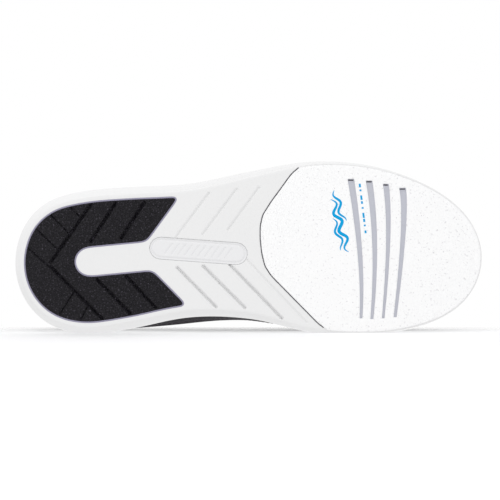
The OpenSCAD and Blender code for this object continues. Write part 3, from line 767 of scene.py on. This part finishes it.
def slide_plan(extra):
    rear = soften(shape(SLIDE_REAR), 2)
    return soften(combine(tread_plan(0.9 - extra), grow(rear, extra)), 0.6)


def slot_plan(slot):
    a, m, b = (plan(*p) for p in slot[:3])
    pull = 2 * m - (a + b) / 2
    t = np.linspace(0, 1, 41)[:, None]
    line = a * (1 - t) ** 2 + pull * 2 * t * (1 - t) + b * t * t
    half = np.concatenate([0 * t, (slot[3] + (slot[4] - slot[3]) * t) / 2], 1)
    return soften(np.concatenate([line + half, (line - half)[::-1]]), 0.5)


def badge_place(along, side):
    """A place on the badge: along its length from the middle, and sideways."""
    q = math.radians(BADGE_TURN)
    d = np.array([-math.sin(q), math.cos(q)])
    n = np.array([d[1], -d[0]])
    return plan(*BADGE_MIDDLE) + np.multiply.outer(along, d) + np.multiply.outer(side, n)


def badge_plan(extra, points=40):
    run = (BADGE_LENGTH - BADGE_WIDTH) / 2
    return capsule(badge_place(np.linspace(-run, run, points), 0.0), BADGE_WIDTH / 2 + extra)


# ---- Sole pieces --------------------------------------------------------------------------
DEEP, SHALLOW = (0.85, 2.2), (0.55, 0.7)


def make_frame(step):
    """The white frame round the pads, with the waist's grooves."""
    tread = tread_plan(0)
    grooves = [(line_mm(a, b), *(DEEP if a[1] < 10 else SHALLOW)) for a, b in WAIST_GROOVES]
    grooves.append((line_mm((148.4, 1.9), (186, -37.5)), 0.35, 0.5))

    def height(P, gap):
        return 0.3 + rounding(distance(P, tread), 1.3, 0.9) + rounding(gap, 0.35, 0.15)

    plate("outsole_frame", tread, [heel_pad_plan(0.85), slide_plan(0.55), badge_plan(0.06)],
          height, 3.6, "sole", "sole_frame", ["outsole"], grooves, step)


def make_heel_pad(step):
    grooves = [(line_mm(*g, 0.7), 0.95, 1.7) for g in HEEL_GROOVES]
    grooves += [(line_mm(*g, 0.7), 0.3, 0.7) for g in HEEL_LINES]
    plate("heel_pad_rubber", heel_pad_plan(0), [], domed(0, 0.7, 0.5), 2.45, "heel",
          "heel_rubber", ["heel_pad"], grooves, step)
    # A lavender-grey ring round the heel pad, in the gap to the frame: painted highlight of the
    # pad's edge bevel.
    plate("heel_pad_painted_highlight", heel_pad_plan(0.9), [heel_pad_plan(-0.05)],
          domed(0.24, 0.3, 0.1), 2.0, "painted_edge_highlight", "heel_rubber", rings=(0.2,), step=1.0)


def make_slide_pad(step):
    plate("slide_pad_skin", slide_plan(0), [slot_plan(s) for s in FLEX_SLOTS],
          domed(0, 0.5, 0.35), 1.8, "slide", "slide_microfibre", ["slide_pad"], (), step)
    plate("slide_pad_outline", slide_plan(0.6), [slide_plan(-0.02)], domed(0.55), 2.0, "sole",
          "sole_frame", rings=(0.2,), step=1.0)
    plate("slide_backing_felt", slide_plan(0), [], domed(1.25), 2.55, "backing",
          "slide_backing", ["slide_backing"], (), 2.0)
    # Each slot's top end gets a thin near-black bar on the backing: painted shadow of the slot's
    # end wall.
    for k, slot in enumerate(FLEX_SLOTS):
        inward = 0.75
        bar = np.array([[0, -1], [0, 0], [0, 1]]) * (slot[3] / 2 - inward)
        bar = bar + (plan(*slot[0]) + np.array([inward, 0]))
        plate("slot_end_painted_shadow_%d" % k, capsule(bar, 0.36), [], domed(1.15), 1.6, "dark",
              "slide_backing", rings=(), step=0.8)
    # A thin near-black strip in the gap along the slide pad's rear edge: painted shade in that
    # gap.
    rear = soften(shape(SLIDE_REAR), 2)
    rear = rear[(rear[:, 1] > -47) & inside(rear, tread_plan(1.2))]
    rear = rear[np.argsort(rear[:, 0])]
    v, f = ribbon(grow_line(rear, 0.28), np.full(len(rear), 0.19), 0.18, 1.5)
    emit("slide_pad_rear_painted_shade", v, f, "dark", "sole_frame", flat=True)


def make_badge():
    """The badge in the waist, with a rim line and a plain hatch."""
    rim_loop = badge_plan(-1.4, 30)
    grooves = [(np.concatenate([rim_loop, rim_loop[:1]]), 0.4, 0.4)]
    for x in np.arange(-19, 20, 4.2):
        grooves.append((badge_place(np.linspace(-2, 2, 5) + x, np.linspace(-3.2, 3.2, 5)),
                        0.35, 0.3))
    plate("waist_badge_plate", badge_plan(0), [], domed(0.62, 0.8, 0.4), 1.6, "badge",
          "badge_plastic", ["waist_badge"], grooves, 0.9)


def make_sole():
    step = 1.1
    make_frame(step)
    make_heel_pad(step)
    make_slide_pad(step)
    make_badge()


def grow_line(line, d):
    """Moves an open line towards the heel, square to itself."""
    n = ways_of(line)[1]
    return line + d * n * np.sign(n[:, 1:2])


def ribbon(line, half, low=-0.035, high=0.3):
    """Corner places and faces of a flat stroke on the sole: the printed marks, and the painted
    shade strip at the slide pad's rear edge.
    """
    n = ways_of(line)[1] * half[:, None]
    g = ground(line[:, 1])[:, None]
    corners = ((1, low), (-1, low), (-1, high), (1, high))
    return closed_rings(np.stack([np.concatenate([line + side * n, g + z], 1)
                                  for side, z in corners], 1))


def make_print():
    """Generic printed strokes on the slide pad: waves, and a row of dashes."""
    start, end = np.array([200.5, 45.0]), np.array([212.5, 7.0])
    way = end - start
    side = np.array([way[1], -way[0]]) / np.linalg.norm(way)
    parts = []
    for shift, lo, hi, swing, wide in ((-3.0, 0.0, 0.52, 1.6, 0.8), (0.0, 0.12, 1.0, 1.9, 1.05),
                                       (3.0, 0.42, 0.94, 1.5, 0.75)):
        t = np.linspace(lo, hi, 60)
        q = start + t[:, None] * way + (shift + swing * np.sin(t * 22))[:, None] * side
        half = wide * np.sqrt(np.clip(np.sin(np.pi * (t - lo) / (hi - lo)), 0.02, 1))
        parts.append(ribbon(plan(q[:, 0], q[:, 1]), half))
    start, end, pitch, span = np.array([219.4, 50.0]), np.array([223.6, 16.0]), 3.9, 36
    for k, length in enumerate([3.4, 1.6, 4.2, 2.4, 1.6, 4.6, 3.0, 1.6, 2.6]):
        t = np.linspace(k * pitch, k * pitch + length * 0.72, 6)[:, None] / span
        q = start + t * (end - start)
        parts.append(ribbon(plan(q[:, 0], q[:, 1]), np.full(6, 0.62)))
    emit("slide_pad_print", *join(parts), "blue", "slide_microfibre", flat=True)


# The midsole's wall from the tread up and over the rim. Its depth is a + b x the tread's
# inset, and its height c + d x the rim's height, for each (a, b, c, d).
MIDSOLE_PROFILE = [(0.8, 1, 3.65, 0), (0.1, 1, 3.75, 0), (-0.6, 1, 4.9, 0),
                   (0.25, 0.25, 0, 0.3), (0.3, 0, 0, 0.38), (0, 0, 0, 0.5),
                   (0.15, 0, 0, 0.6), (0.75, 0, 0, 0.62), (0.75, 0, 0, 0.65),
                   (0.3, 0, 0, 0.67), (0.75, 0, 0, 0.8), (1.4, 0, 0, 0.93),
                   (2.2, 0, -0.1, 1), (3, 0, -0.1, 1), (3.8, 0, -1.4, 1), (5.2, 0, -3.2, 1)]


def make_midsole():
    turns = np.arange(0, 360, 1.0)
    t, r = tread_edge(turns), rim(turns)
    keys = np.array([np.stack([a + b * t, c + d * r], -1) for a, b, c, d in MIDSOLE_PROFILE])
    x = np.linspace(0, len(keys) - 1, 46)
    i = np.minimum(x.astype(int), len(keys) - 2)
    share = (x - i)[:, None, None]
    rows = keys[i] * (1 - share) + keys[i + 1] * share
    rows[1:-1] = 0.25 * rows[:-2] + 0.5 * rows[1:-1] + 0.25 * rows[2:]
    rings = [level(turns, p[:, 0], p[:, 1]) for p in rows]
    foot = inset(turns, 5.2)
    rings.append(np.concatenate([foot, bed(foot[:, 1])[:, None]], 1))
    v, f = closed_rings(rings)
    emit("midsole_cup", v, [g[::-1] for g in f], "foam", "midsole_foam", replaces=["midsole"])


def make_sockliner():
    step = 3.0
    ring = resample(inset(np.arange(0, 360, 3.0), 10.4), step)
    n = len(ring)
    g = spread(ring.min(0), ring.max(0), step)
    g = g[inside(g, ring) & (distance(g, ring) > 3)]
    P, T = triangles(np.concatenate([ring, grow(ring, -0.7), grow(ring, -2), g]),
                     [(i, (i + 1) % n) for i in range(n)], 1)
    T = facing(P, T, True)
    gap, low = distance(P, ring), bed(P[:, 1])
    top = low + 5.4 + 0.9 * np.exp(-((gap - 2.5) / 3) ** 2) - 0.9 * np.exp(-(gap / 0.8) ** 2)
    m = len(P)
    v = np.concatenate([np.column_stack([P, top]), np.column_stack([P, low + 1.5])])
    f = T + [[m + k for k in t[::-1]] for t in T]
    f += [[b, a, m + a, m + b] for a, b in open_edges(T)]
    emit("sockliner_pad", v, f, "sock", "sockliner_textile", replaces=["sockliner"],
         uvs=np.concatenate([P, P]))


# ---- Stitching --------------------------------------------------------------------------
STITCH_WIDTH, STITCH_RISE = 0.5, 0.32
STITCH_FACES = [[0, 1, 2], [0, 2, 3], [1, 4, 5, 2], [2, 5, 6, 3], [4, 7, 5], [5, 7, 6],
                [0, 3, 1], [1, 3, 6, 4], [4, 6, 7]]


def sew(name, place, paths, height, pitch=3.0, length=2.1, body="shoe"):
    """Raised stitches along paths of (u, v) places on a surface."""
    parts = []
    for us, vs in paths:
        s = arcs(place(us, vs))
        for c in np.arange(pitch / 2, s[-1], pitch):
            q = c + length * np.array([-0.5, -0.3, 0.3, 0.5])
            uu, vv = np.interp(q, s, us), np.interp(q, s, vs)
            normal = normal_of(place, uu, vv)
            a, b, c4, d = place(uu, vv) + height * normal
            side = np.cross(normal[1], unit(d - a)) * STITCH_WIDTH / 2
            up = normal[1] * STITCH_RISE
            parts.append((np.array([a, b + side, b + up, b - side, c4 + side, c4 + up,
                                    c4 - side, d]), STITCH_FACES))
    emit(name, *join(parts), "thread", "lace_yarn", body)


def straight(u0, u1, v0, v1, n=60):
    """The (u, v) places of a line between two corners."""
    return np.linspace(u0, u1, n), np.linspace(v0, v1, n)


def rim_lines(u0, u1, v0, v1, away, sides):
    """Stitch lines inside a patch's edges, at a distance in millimetres."""
    span = np.linalg.norm(upper((u0 + u1) / 2, v1) - upper((u0 + u1) / 2, v0)) / (v1 - v0)
    top, vm = v1 - away / span, (v0 + v1) / 2

    def turn(u):
        return away / np.linalg.norm(upper(u + 0.5, vm) - upper(u - 0.5, vm))

    a = u0 + (turn(u0) if sides[0] else 0)
    b = u1 - (turn(u1) if sides[1] else 0)
    ends = [straight(u, u, v0, top) for u, sewn in ((a, sides[0]), (b, sides[1])) if sewn]
    return [straight(a, b, top, top, 160)] + ends


# ---- Upper ------------------------------------------------------------------------------
SIDES = ((1, "medial"), (-1, "lateral"))
OVERLAY_THICK = 1.1
EYESTAY_LOW = 0.7


def eyelets_on(side):
    return [side * a for a in eyelet_angles]


def make_upper():
    du, dv = ((1.25, 0.022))
    vs = fine(-0.12, 1, dv, 0.02)
    all_turns = [s * a % 360 for a in eyelet_angles for s in (1, -1)]
    for s, side in SIDES:
        lo, hi = sorted((s * 0.05, s * 119.95))
        patch("quarter_%s_knit" % side, fine(lo, hi, du, 0.8), vs, upper, -1.6, 0.0, "knit",
              "knit", ["quarter_" + side], round_mm=0.5, holes=eyelets_on(s),
              ends=(1, 1, 0, 1))
    patch("vamp_knit", fine(120.0, 240.0, du, 0.8), vs, upper, -1.6, 0.02, "knit", "knit",
          ["vamp"], round_mm=0.5, holes=all_turns, ends=(1, 1, 0, 1))
    patch("vamp_lining_mesh", fine(87, 273, du * 1.5, 0.6), fine(-0.12, 0.95, dv * 1.5, 0.02),
          upper, -2.52, -1.72, "lining", "lining_textile", ["vamp_lining"], round_mm=0.4,
          holes=all_turns)


def eyestay_low(u):
    """Level of an eyestay's lower edge, which sweeps up at its rear end."""
    return EYESTAY_LOW + 0.2 * smooth((90.5 - np.abs(u)) / 6.5)


def eyestay_warp(U, V):
    low = eyestay_low(U)
    return U, low + (V - EYESTAY_LOW) / (1 - EYESTAY_LOW) * (1 - low)


def overlay(name, node, u0, u1, v0, v1, mat="overlay", slot="overlay_synthetic", holes=(),
            warp=None):
    du, dv = ((1.2, 0.02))
    patch(name, fine(u0, u1, du, 0.5), fine(v0, v1, dv, 0.012), upper, 0.02,
          0.15 + OVERLAY_THICK, mat, slot, [node], round_mm=0.9, holes=holes, warp=warp)


def sew_rims(name, box, sides, aways):
    """Rows of stitches along an overlay's edges, at each of the distances from them."""
    paths = [path for away in aways for path in rim_lines(*box, away, sides)]
    sew(name + "_stitches", upper, paths, 0.1 + OVERLAY_THICK)


def make_overlays():
    for node, box, sides, aways in (
            ("toe_cap", (152, 208, 0.005, 0.32), (1, 1), (2.0, 4.2)),
            ("heel_patch", (-36, 36, 0.005, 0.57), (1, 1), (2.0, 4.2)),
            ("foxing_medial", (36.4, 151.6, 0.005, 0.21), (0, 0), (2.0,)),
            ("foxing_lateral", (-151.6, -36.4, 0.005, 0.21), (0, 0), (2.0,))):
        overlay(node + "_overlay", node, *box)
        sew_rims(node + "_overlay", box, sides, aways)
    for s, side in SIDES:
        a, b = sorted((s * 84, s * 179.6))
        name = "eyestay_%s_overlay" % side
        overlay(name, "eyestay_" + side, a, b, EYESTAY_LOW, 1, holes=eyelets_on(s),
                warp=eyestay_warp)
        along = np.linspace(a + 1.5, b - 1.5, 160)
        sew(name + "_stitches", upper, [(along, eyestay_low(along) + 0.028),
                                        (along, 0 * along + 0.976)], 0.1 + OVERLAY_THICK)


def padding(u, v):
    return 6 * smooth((v - 0.46) / 0.36) * smooth((88 - np.abs(u)) / 34) + 1.4


def make_collar():
    """The padded collar: a lining over foam, rolled over the opening's edge."""
    us = np.linspace(-86, 86, 141)
    U, V = np.meshgrid(us, np.linspace(-0.12, 0.96, 64), indexing="ij")
    puff = 1 + 0.05 * np.sin(U / 7.3) * np.sin(V * 19 + U / 11)
    wrinkle = 0.25 * np.sin(U * 0.55 + 3 * np.sin(V * 9)) * smooth((V - 0.6) / 0.2)
    depth = -1.72 - padding(U, V) * puff - 0.95 + wrinkle * smooth((88 - np.abs(U)) / 20)
    inner = off_upper(U, V, depth)
    q = np.linspace(0, 1, 12)[1:]
    end = depth[:, -1:]
    roll_u = us[:, None] + 0 * q
    roll_v = 0.96 + 0.045 * np.sin(q * math.pi * 0.62) + 0 * roll_u
    roll = off_upper(roll_u, roll_v, end + (-1.75 - end) * smooth(q))
    back_u, back_v = np.meshgrid(us, np.linspace(0.9, -0.12, 14), indexing="ij")
    back = off_upper(back_u, back_v, -1.66)
    ring = np.concatenate([inner, roll, back], 1)
    n, m = ring.shape[:2]
    f = grid_faces(n, m)
    f += [[(i + 1) * m, (i + 2) * m - 1, (i + 1) * m - 1, i * m] for i in range(n - 1)]
    f += [list(range(m))[::-1], [(n - 1) * m + i for i in range(m)]]
    ob = emit("collar_pad", ring.reshape(-1, 3), f, "lining", "lining_textile",
              replaces=["collar_lining", "collar_foam"], uvs=grid_uv(ring))
    sew("collar_stitches", upper, [straight(-80, 80, 0.975, 0.975, 200)], 0.02)


def tongue_depth(u, v):
    return (6 * (0.35 + 0.65 * smooth((1 - np.abs(v)) / 0.35))
            * (0.3 + 0.7 * smooth(u / 0.25)) * (0.6 + 0.4 * smooth((1.3 - u) / 0.06)))


def make_tongue():
    """The padded tongue, with two sewn channels along it and one across, and its edging."""
    nu, nv = ((150, 57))
    tip = 128.5 + 1.5 * np.sin(np.linspace(0.2, 1, 6) * math.pi / 2)
    us = np.concatenate([np.linspace(0, 128.5, nu - 6), tip])
    vs = np.sin(np.linspace(-1, 1, nv) * math.pi / 2 * 0.98) / math.sin(math.pi / 2 * 0.98)
    U, V = np.meshgrid(us, vs, indexing="ij")
    base, normal = place_tongue(U, V), normal_of(place_tongue, U, V)
    t = tongue_depth(U / 100, V)
    edge_v = np.clip((1 - np.abs(V)) / 0.16, 0, 1)
    edge_u = np.clip((130 - U) / 4.5, 0, 1)
    lift = np.sqrt(1 - (1 - edge_v) ** 2) * np.sqrt(1 - (1 - edge_u) ** 2)
    half = t / 2 * (0.12 + 0.88 * lift)
    along = np.exp(-((np.abs(V) - 0.52) / 0.035) ** 2)
    across = np.exp(-((U - 108) / 1.1) ** 2) * (np.abs(V) < 0.8)
    wrinkle = 0.18 * np.sin(U * 0.35 + 2 * np.sin(V * 4)) * np.sin(V * 9 + U * 0.08)
    top = -t / 2 + half + (wrinkle - 0.9 * (along + across)) * lift
    low = -t / 2 - half + 0.2 * wrinkle * lift
    v = np.concatenate([(base + normal * h[..., None]).reshape(-1, 3) for h in (top, low)])
    ob = emit("tongue_pad", v, closed_sheet(nu, nv), "tongue", "knit", "tongue", ["tongue"],
              np.concatenate([grid_uv(base)] * 2))
    patch("tongue_edging_web", fine(112, 127, 1.0, 0.8), fine(-0.36, 0.36, 0.03, 0.02),
          place_tongue, -0.6, 0.95, "webbing", "webbing", ["tongue_edging"], "tongue", 0.6)
    u0, u1, v1 = 113.2, 125.8, 0.33
    paths = [straight(u0, u0, -v1, v1), straight(u1, u1, -v1, v1),
             straight(u0, u1, -v1, -v1), straight(u0, u1, v1, v1)]
    sew("tongue_edging_stitches", place_tongue, paths, 0.85, 2.6, 1.8, "tongue")


# ---- Eyelets, lace and tabs ---------------------------------------------------------------
def make_eyelets():
    """Rings of (radius, height), from the barrel under the upper over the flange."""
    top = 1.25
    profile = [(2.3, -1.4), (2.7, -1.4), (2.7, top - 0.1), (4.0, top + 0.05),
               (4.2, top + 0.35), (4.0, top + 0.75), (3.5, top + 0.98), (2.9, top + 1.0),
               (2.5, top + 0.85), (2.3, top + 0.5)]
    q = np.linspace(0, 2 * math.pi, 37)[:-1]
    faces = [f[::-1] for f in tube_faces(len(profile), len(q), wrap=True)]
    parts = []
    for a in [s * a for a in eyelet_angles for s in (1, -1)]:
        n = normal_of(upper, np.array(float(a)), np.array(LEVEL))
        x = unit(np.cross(n, [0, 0, 1.0]))
        ring = circle(q, x, np.cross(n, x))
        parts.append((np.concatenate([upper(a, LEVEL) + r * ring + z * n for r, z in profile]),
                      faces))
    emit("eyelet_rings", *join(parts), "metal", "eyelet_metal", replaces=["eyelets"])


THICK, LACE_TIP = 2.4, 1.7
OVER_TONGUE = THICK / 2 + 0.25
OVER_STRAND = OVER_TONGUE + THICK + 0.3
OVER_STACK = 1.25 + 1 + THICK / 2 + 0.15
UNDER_STACK = -2.52 - THICK / 2 - 0.2
KNOT = 1.08
AGLET = 14
TAB_WIDTH, TAB_WALL = 15.0, 1.3


def mix(a, b, t):
    return a + (b - a) * t


def mark(turn):
    """How far along the tongue a turn lies."""
    return (TONGUE_FRONT - turn) / (TONGUE_FRONT - TONGUE_BACK)


def strand(k, side, height):
    """Places from inside one eyelet over the throat to the underside of the next one."""
    a, b = eyelet_angles[k], eyelet_angles[k + 1]
    u0, u1 = mark(a), mark(b)
    return [off_upper(side * a, LEVEL, -1), off_upper(side * a, LEVEL, 2.2),
            off_upper(side * mix(a, b, 0.06), LEVEL + 0.037, OVER_STACK + 0.5),
            off_upper(side * mix(a, b, 0.14), LEVEL + 0.08, OVER_STACK),
            off_tongue(mix(u0, u1, 0.36), side * 0.25, mix(OVER_STRAND, height, 0.6) + 0.4),
            off_tongue(mix(u0, u1, 0.5), 0, height),
            off_tongue(mix(u0, u1, 0.64), -side * 0.22, mix(OVER_TONGUE, height, 0.6)),
            off_tongue(mix(u0, u1, 0.86), -side * 0.44, OVER_TONGUE),
            off_upper(-side * mix(a, b, 0.96), LEVEL + 0.065, UNDER_STACK),
            off_upper(-side * b, LEVEL + 0.028, UNDER_STACK)]


def bow_places(s, low):
    """Places from the knot round one loop, back over the knot and out to a tail's end."""
    h1 = OVER_TONGUE if low else OVER_STRAND
    h2 = h1 + 2 * THICK + 1.5
    loop = [(85.5, 0.95, 8), (87, 0.82, 5.4), (92, 0.68, 3.6), (98, 0.6, 3), (104, 0.61, 3),
            (107, 0.7, 3.8), (105, 0.82, 6.4), (100.5, 0.95, 9)]
    tail = [(109, 0.98, 8), (114, 0.87, 6.6), (119, 0.75, 4.2), (121, 0.66, 2.8),
            (121.5, 0.59, 2.4), (121.5, 0.54, 2.4)]
    return ([off_tongue(KNOT - 0.05, s * 0.25, h1 + 0.8), off_tongue(KNOT, 0, h1),
             off_tongue(KNOT + 0.06, -s * 0.24, h1 + 1.6),
             off_tongue(KNOT + 0.05, -s * 0.75, h1 + 0.6)]
            + [off_upper(-s * u, v, h) for u, v, h in loop]
            + [off_tongue(KNOT - 0.045, -s * 0.22, h2 + 0.8), off_tongue(KNOT - 0.075, 0, h2),
               off_tongue(KNOT - 0.13, s * 0.24, h2)]
            + [off_upper(s * u, v, h) for u, v, h in tail])


def half_lace(side):
    """Half of the lace, from the bar at the toe end over the eyelets and bow to its tip."""
    a0, a5, s = eyelet_angles[0], eyelet_angles[5], -side
    out = [off_tongue(mark(a0), side * 0.38, OVER_TONGUE),
           off_upper(side * a0, LEVEL + 0.065, UNDER_STACK),
           off_upper(side * a0, LEVEL + 0.026, UNDER_STACK)]
    for k in range(5):
        out += strand(k, side if k % 2 == 0 else -side,
                      OVER_TONGUE if (k % 2 == 0) == (side > 0) else OVER_STRAND)
    out += [off_upper(s * a5, LEVEL, -1), off_upper(s * a5, LEVEL, 2.2),
            off_upper(s * (a5 - 0.6), LEVEL + 0.035, OVER_STACK + 0.5),
            off_upper(s * (a5 - 1), LEVEL + 0.08, OVER_STACK + 0.6)]
    bow = bow_places(s, side > 0)
    end, way = tail_of(s)
    return out + bow + [end + (AGLET - 1) * way]


def tail_of(s):
    bow = bow_places(s, True)
    return bow[-1], unit(bow[-1] - bow[-2])


def aglet(end, way):
    """A lace tip's sleeve, as rings of (radius, distance along)."""
    x = unit(np.cross(way, [1, 0, 0.3]))
    ring = circle(np.linspace(0, 2 * math.pi, 25)[:-1], x, np.cross(way, x))
    profile = [(1.05, 0.8), (1.32, 0.8), (1.35, 1.1), (1.35, 13.8), (1.25, 14.5), (0.9, 14.8),
               (0.05, 14.8)]
    return closed_rings([end + way * z + r * ring for r, z in profile])


def make_lace():
    middle = off_tongue(mark(eyelet_angles[0]), 0, OVER_TONGUE + 0.2)
    places = half_lace(-1)[::-1] + [middle] + half_lace(1)
    n = len(places) - 1
    steps, section = ((9, 14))
    xs = np.arange(n * steps + 1) / steps
    line = along_at(places, xs)
    ways = unit(along_at(places, np.minimum(xs + 0.1, n))
                - along_at(places, np.maximum(xs - 0.1, 0)))
    side = [unit(np.cross(ways[0], [1, 1, 1.0]))]
    for w in ways[1:]:
        side.append(unit(side[-1] - (side[-1] @ w) * w))
    up = np.cross(ways, side)
    r = (THICK + (LACE_TIP - THICK) * smooth(2.6 - np.minimum(xs, n - xs))) / 2
    q = np.arange(section) * 2 * math.pi / section
    rings = [c + h * circle(q, a, b) for c, h, a, b in zip(line, r, side, up)]
    along = arcs(line)
    uv = np.stack([np.tile(q * THICK / 2, len(xs)), np.repeat(along, section)], -1)
    lace = emit("lace_cord", *closed_rings(rings), "lace", "lace_yarn", replaces=["lace"],
                uvs=uv)
    tips = emit("aglet_tips", *join([aglet(*tail_of(s)) for s in (-1, 1)]), "aglet",
                "aglet_plastic", replaces=["aglets"])


def tab_outline(cut, high=24.0):
    """The pull tab's side view, less a wall: a large round end over a small one."""
    big, small = np.array([0, high - 5.5]), np.array([0, 2 + cut * 3.0])
    rb, rs = 5 - cut, 1.8 - cut
    lean = math.asin((rb - rs) / (big[1] - small[1]))
    a = np.linspace(-lean, math.pi + lean, 40)
    b = np.linspace(math.pi + lean, 2 * math.pi - lean, 16)
    x, y = np.eye(2)
    return np.concatenate([big + rb * circle(a, x, y), small + rs * circle(b, x, y)])


def make_tabs():
    """The heel strip, and the pull tab's loop of webbing."""
    strip = (-8, 8, 0.585, 1)
    overlay("heel_strip_web", "heel_strip", *strip, "webbing", "webbing")
    sew_rims("heel_strip_web", strip, (1, 1), (1.6,))
    outer, inner = tab_outline(0), tab_outline(TAB_WALL)
    k = math.radians(-6)
    turn = np.array([[math.cos(k), -math.sin(k)], [math.sin(k), math.cos(k)]])
    xs = TAB_WIDTH / 2 * np.array([-1, -0.98, -0.93, -0.5, 0, 0.5, 0.93, 0.98, 1])
    trim = np.array([0.3, 0.1, 0, 0, 0, 0, 0, 0.1, 0.3])
    n = len(outer)
    rings = [np.column_stack([np.full(n, x), (a + (b - a) * t * 0.5) @ turn.T])
             for a, b, way in ((outer, inner, 1), (inner, outer, -1))
             for x, t in zip(xs[::way], trim)]
    faces = [g[::-1] for g in tube_faces(len(rings), n, wrap=True)]
    uv = np.stack([np.repeat(np.concatenate([xs, xs[::-1]]), n),
                   np.tile(arcs(outer), len(rings))], -1)
    emit("pull_tab_web", np.concatenate(rings) + upper(0, 1) + np.array([0, -0.8, 0.3]),
         faces, "webbing", "webbing", "pull_tab", ["pull_tab"], uv)


def hidden_nodes():
    """Sealed inner pieces that keep their CAD solids."""
    for node, mat in (("lasting_board", "board"), ("heel_counter", "stiff"),
                      ("toe_puff", "stiff")):
        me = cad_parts[node].data
        me.materials.clear()
        me.materials.append(M[mat])


# ---- Floors, light and world ----------------------------------------------------------------
def floor_material(name, fade):
    """Pale, clear from behind, and thinning out to nothing between fade's two heights."""
    m = bpy.data.materials.new(name)
    m.use_nodes = True
    nodes, links = m.node_tree.nodes, m.node_tree.links
    shader = nodes["Principled BSDF"]
    shader.inputs["Base Color"].default_value = (0.93, 0.93, 0.94, 1)
    shader.inputs["Roughness"].default_value = 0.9
    shader.inputs["Specular IOR Level"].default_value = 0.1
    hidden = nodes.new("ShaderNodeNewGeometry").outputs["Backfacing"]
    if fade:
        place = nodes.new("ShaderNodeTexCoord")
        split = nodes.new("ShaderNodeSeparateXYZ")
        thin = nodes.new("ShaderNodeMapRange")
        thin.inputs["From Min"].default_value = fade[0]
        thin.inputs["From Max"].default_value = fade[1]
        more = nodes.new("ShaderNodeMath")
        more.operation = "MAXIMUM"
        links.new(place.outputs["Object"], split.inputs[0])
        links.new(split.outputs["Z"], thin.inputs["Value"])
        links.new(hidden, more.inputs[0])
        links.new(thin.outputs["Result"], more.inputs[1])
        hidden = more.outputs[0]
    clear = nodes.new("ShaderNodeBsdfTransparent")
    mixer = nodes.new("ShaderNodeMixShader")
    links.new(hidden, mixer.inputs[0])
    links.new(shader.outputs[0], mixer.inputs[1])
    links.new(clear.outputs[0], mixer.inputs[2])
    links.new(mixer.outputs[0], nodes["Material Output"].inputs["Surface"])
    return m


def floor(name, corners, fade=None):
    """A floor seen only by the camera, and only from its front, so that a camera behind it
    still sees the shoe."""
    me = bpy.data.meshes.new(name)
    me.from_pydata(corners, [], [(0, 1, 2, 3)])
    me.materials.append(floor_material(name, fade))
    ob = show(bpy.data.objects.new(name, me))
    for rays in ("diffuse", "glossy", "transmission", "shadow"):
        setattr(ob, "visible_" + rays, False)


def light(name, place, aim, size, power):
    data = bpy.data.lights.new(name, "AREA")
    data.shape = "DISK"
    data.size = size
    data.energy = power
    ob = show(bpy.data.objects.new(name, data))
    turn = (Vector(aim) - Vector(place)).to_track_quat("-Z", "Y")
    ob.matrix_world = Matrix.Translation(place) @ turn.to_matrix().to_4x4()


def make_stage():
    """A floor under the standing shoe, and one along the side that it lies on in the main
    view."""
    r, below, beside = 1.5, -0.0004, 0.0535
    floor("floor_standing", [(-r, -r, below), (r, -r, below), (r, r, below), (-r, r, below)])
    floor("floor_lying", [(beside, -r, -r), (beside, -r, 0.1), (beside, r, 0.1),
                          (beside, r, -r)], fade=(0.0, 0.07))
    world = bpy.data.worlds.new("world")
    world.use_nodes = True
    background = world.node_tree.nodes["Background"]
    background.inputs["Color"].default_value = (1, 1, 1, 1)
    background.inputs["Strength"].default_value = 1.0
    bpy.context.scene.world = world
    light("key", (-1.3, 0.3, -0.55), (0, 0, 0), 0.6, 3.2)
    light("top", (0.5, -0.6, 1.4), (0, 0, 0.04), 1.0, 7)
    bpy.context.scene.view_settings.view_transform = "Standard"


make_camera()
make_sole()
make_print()
make_midsole()
make_sockliner()
make_upper()
make_overlays()
make_collar()
make_tongue()
make_eyelets()
make_lace()
make_tabs()
hidden_nodes()
make_stage()
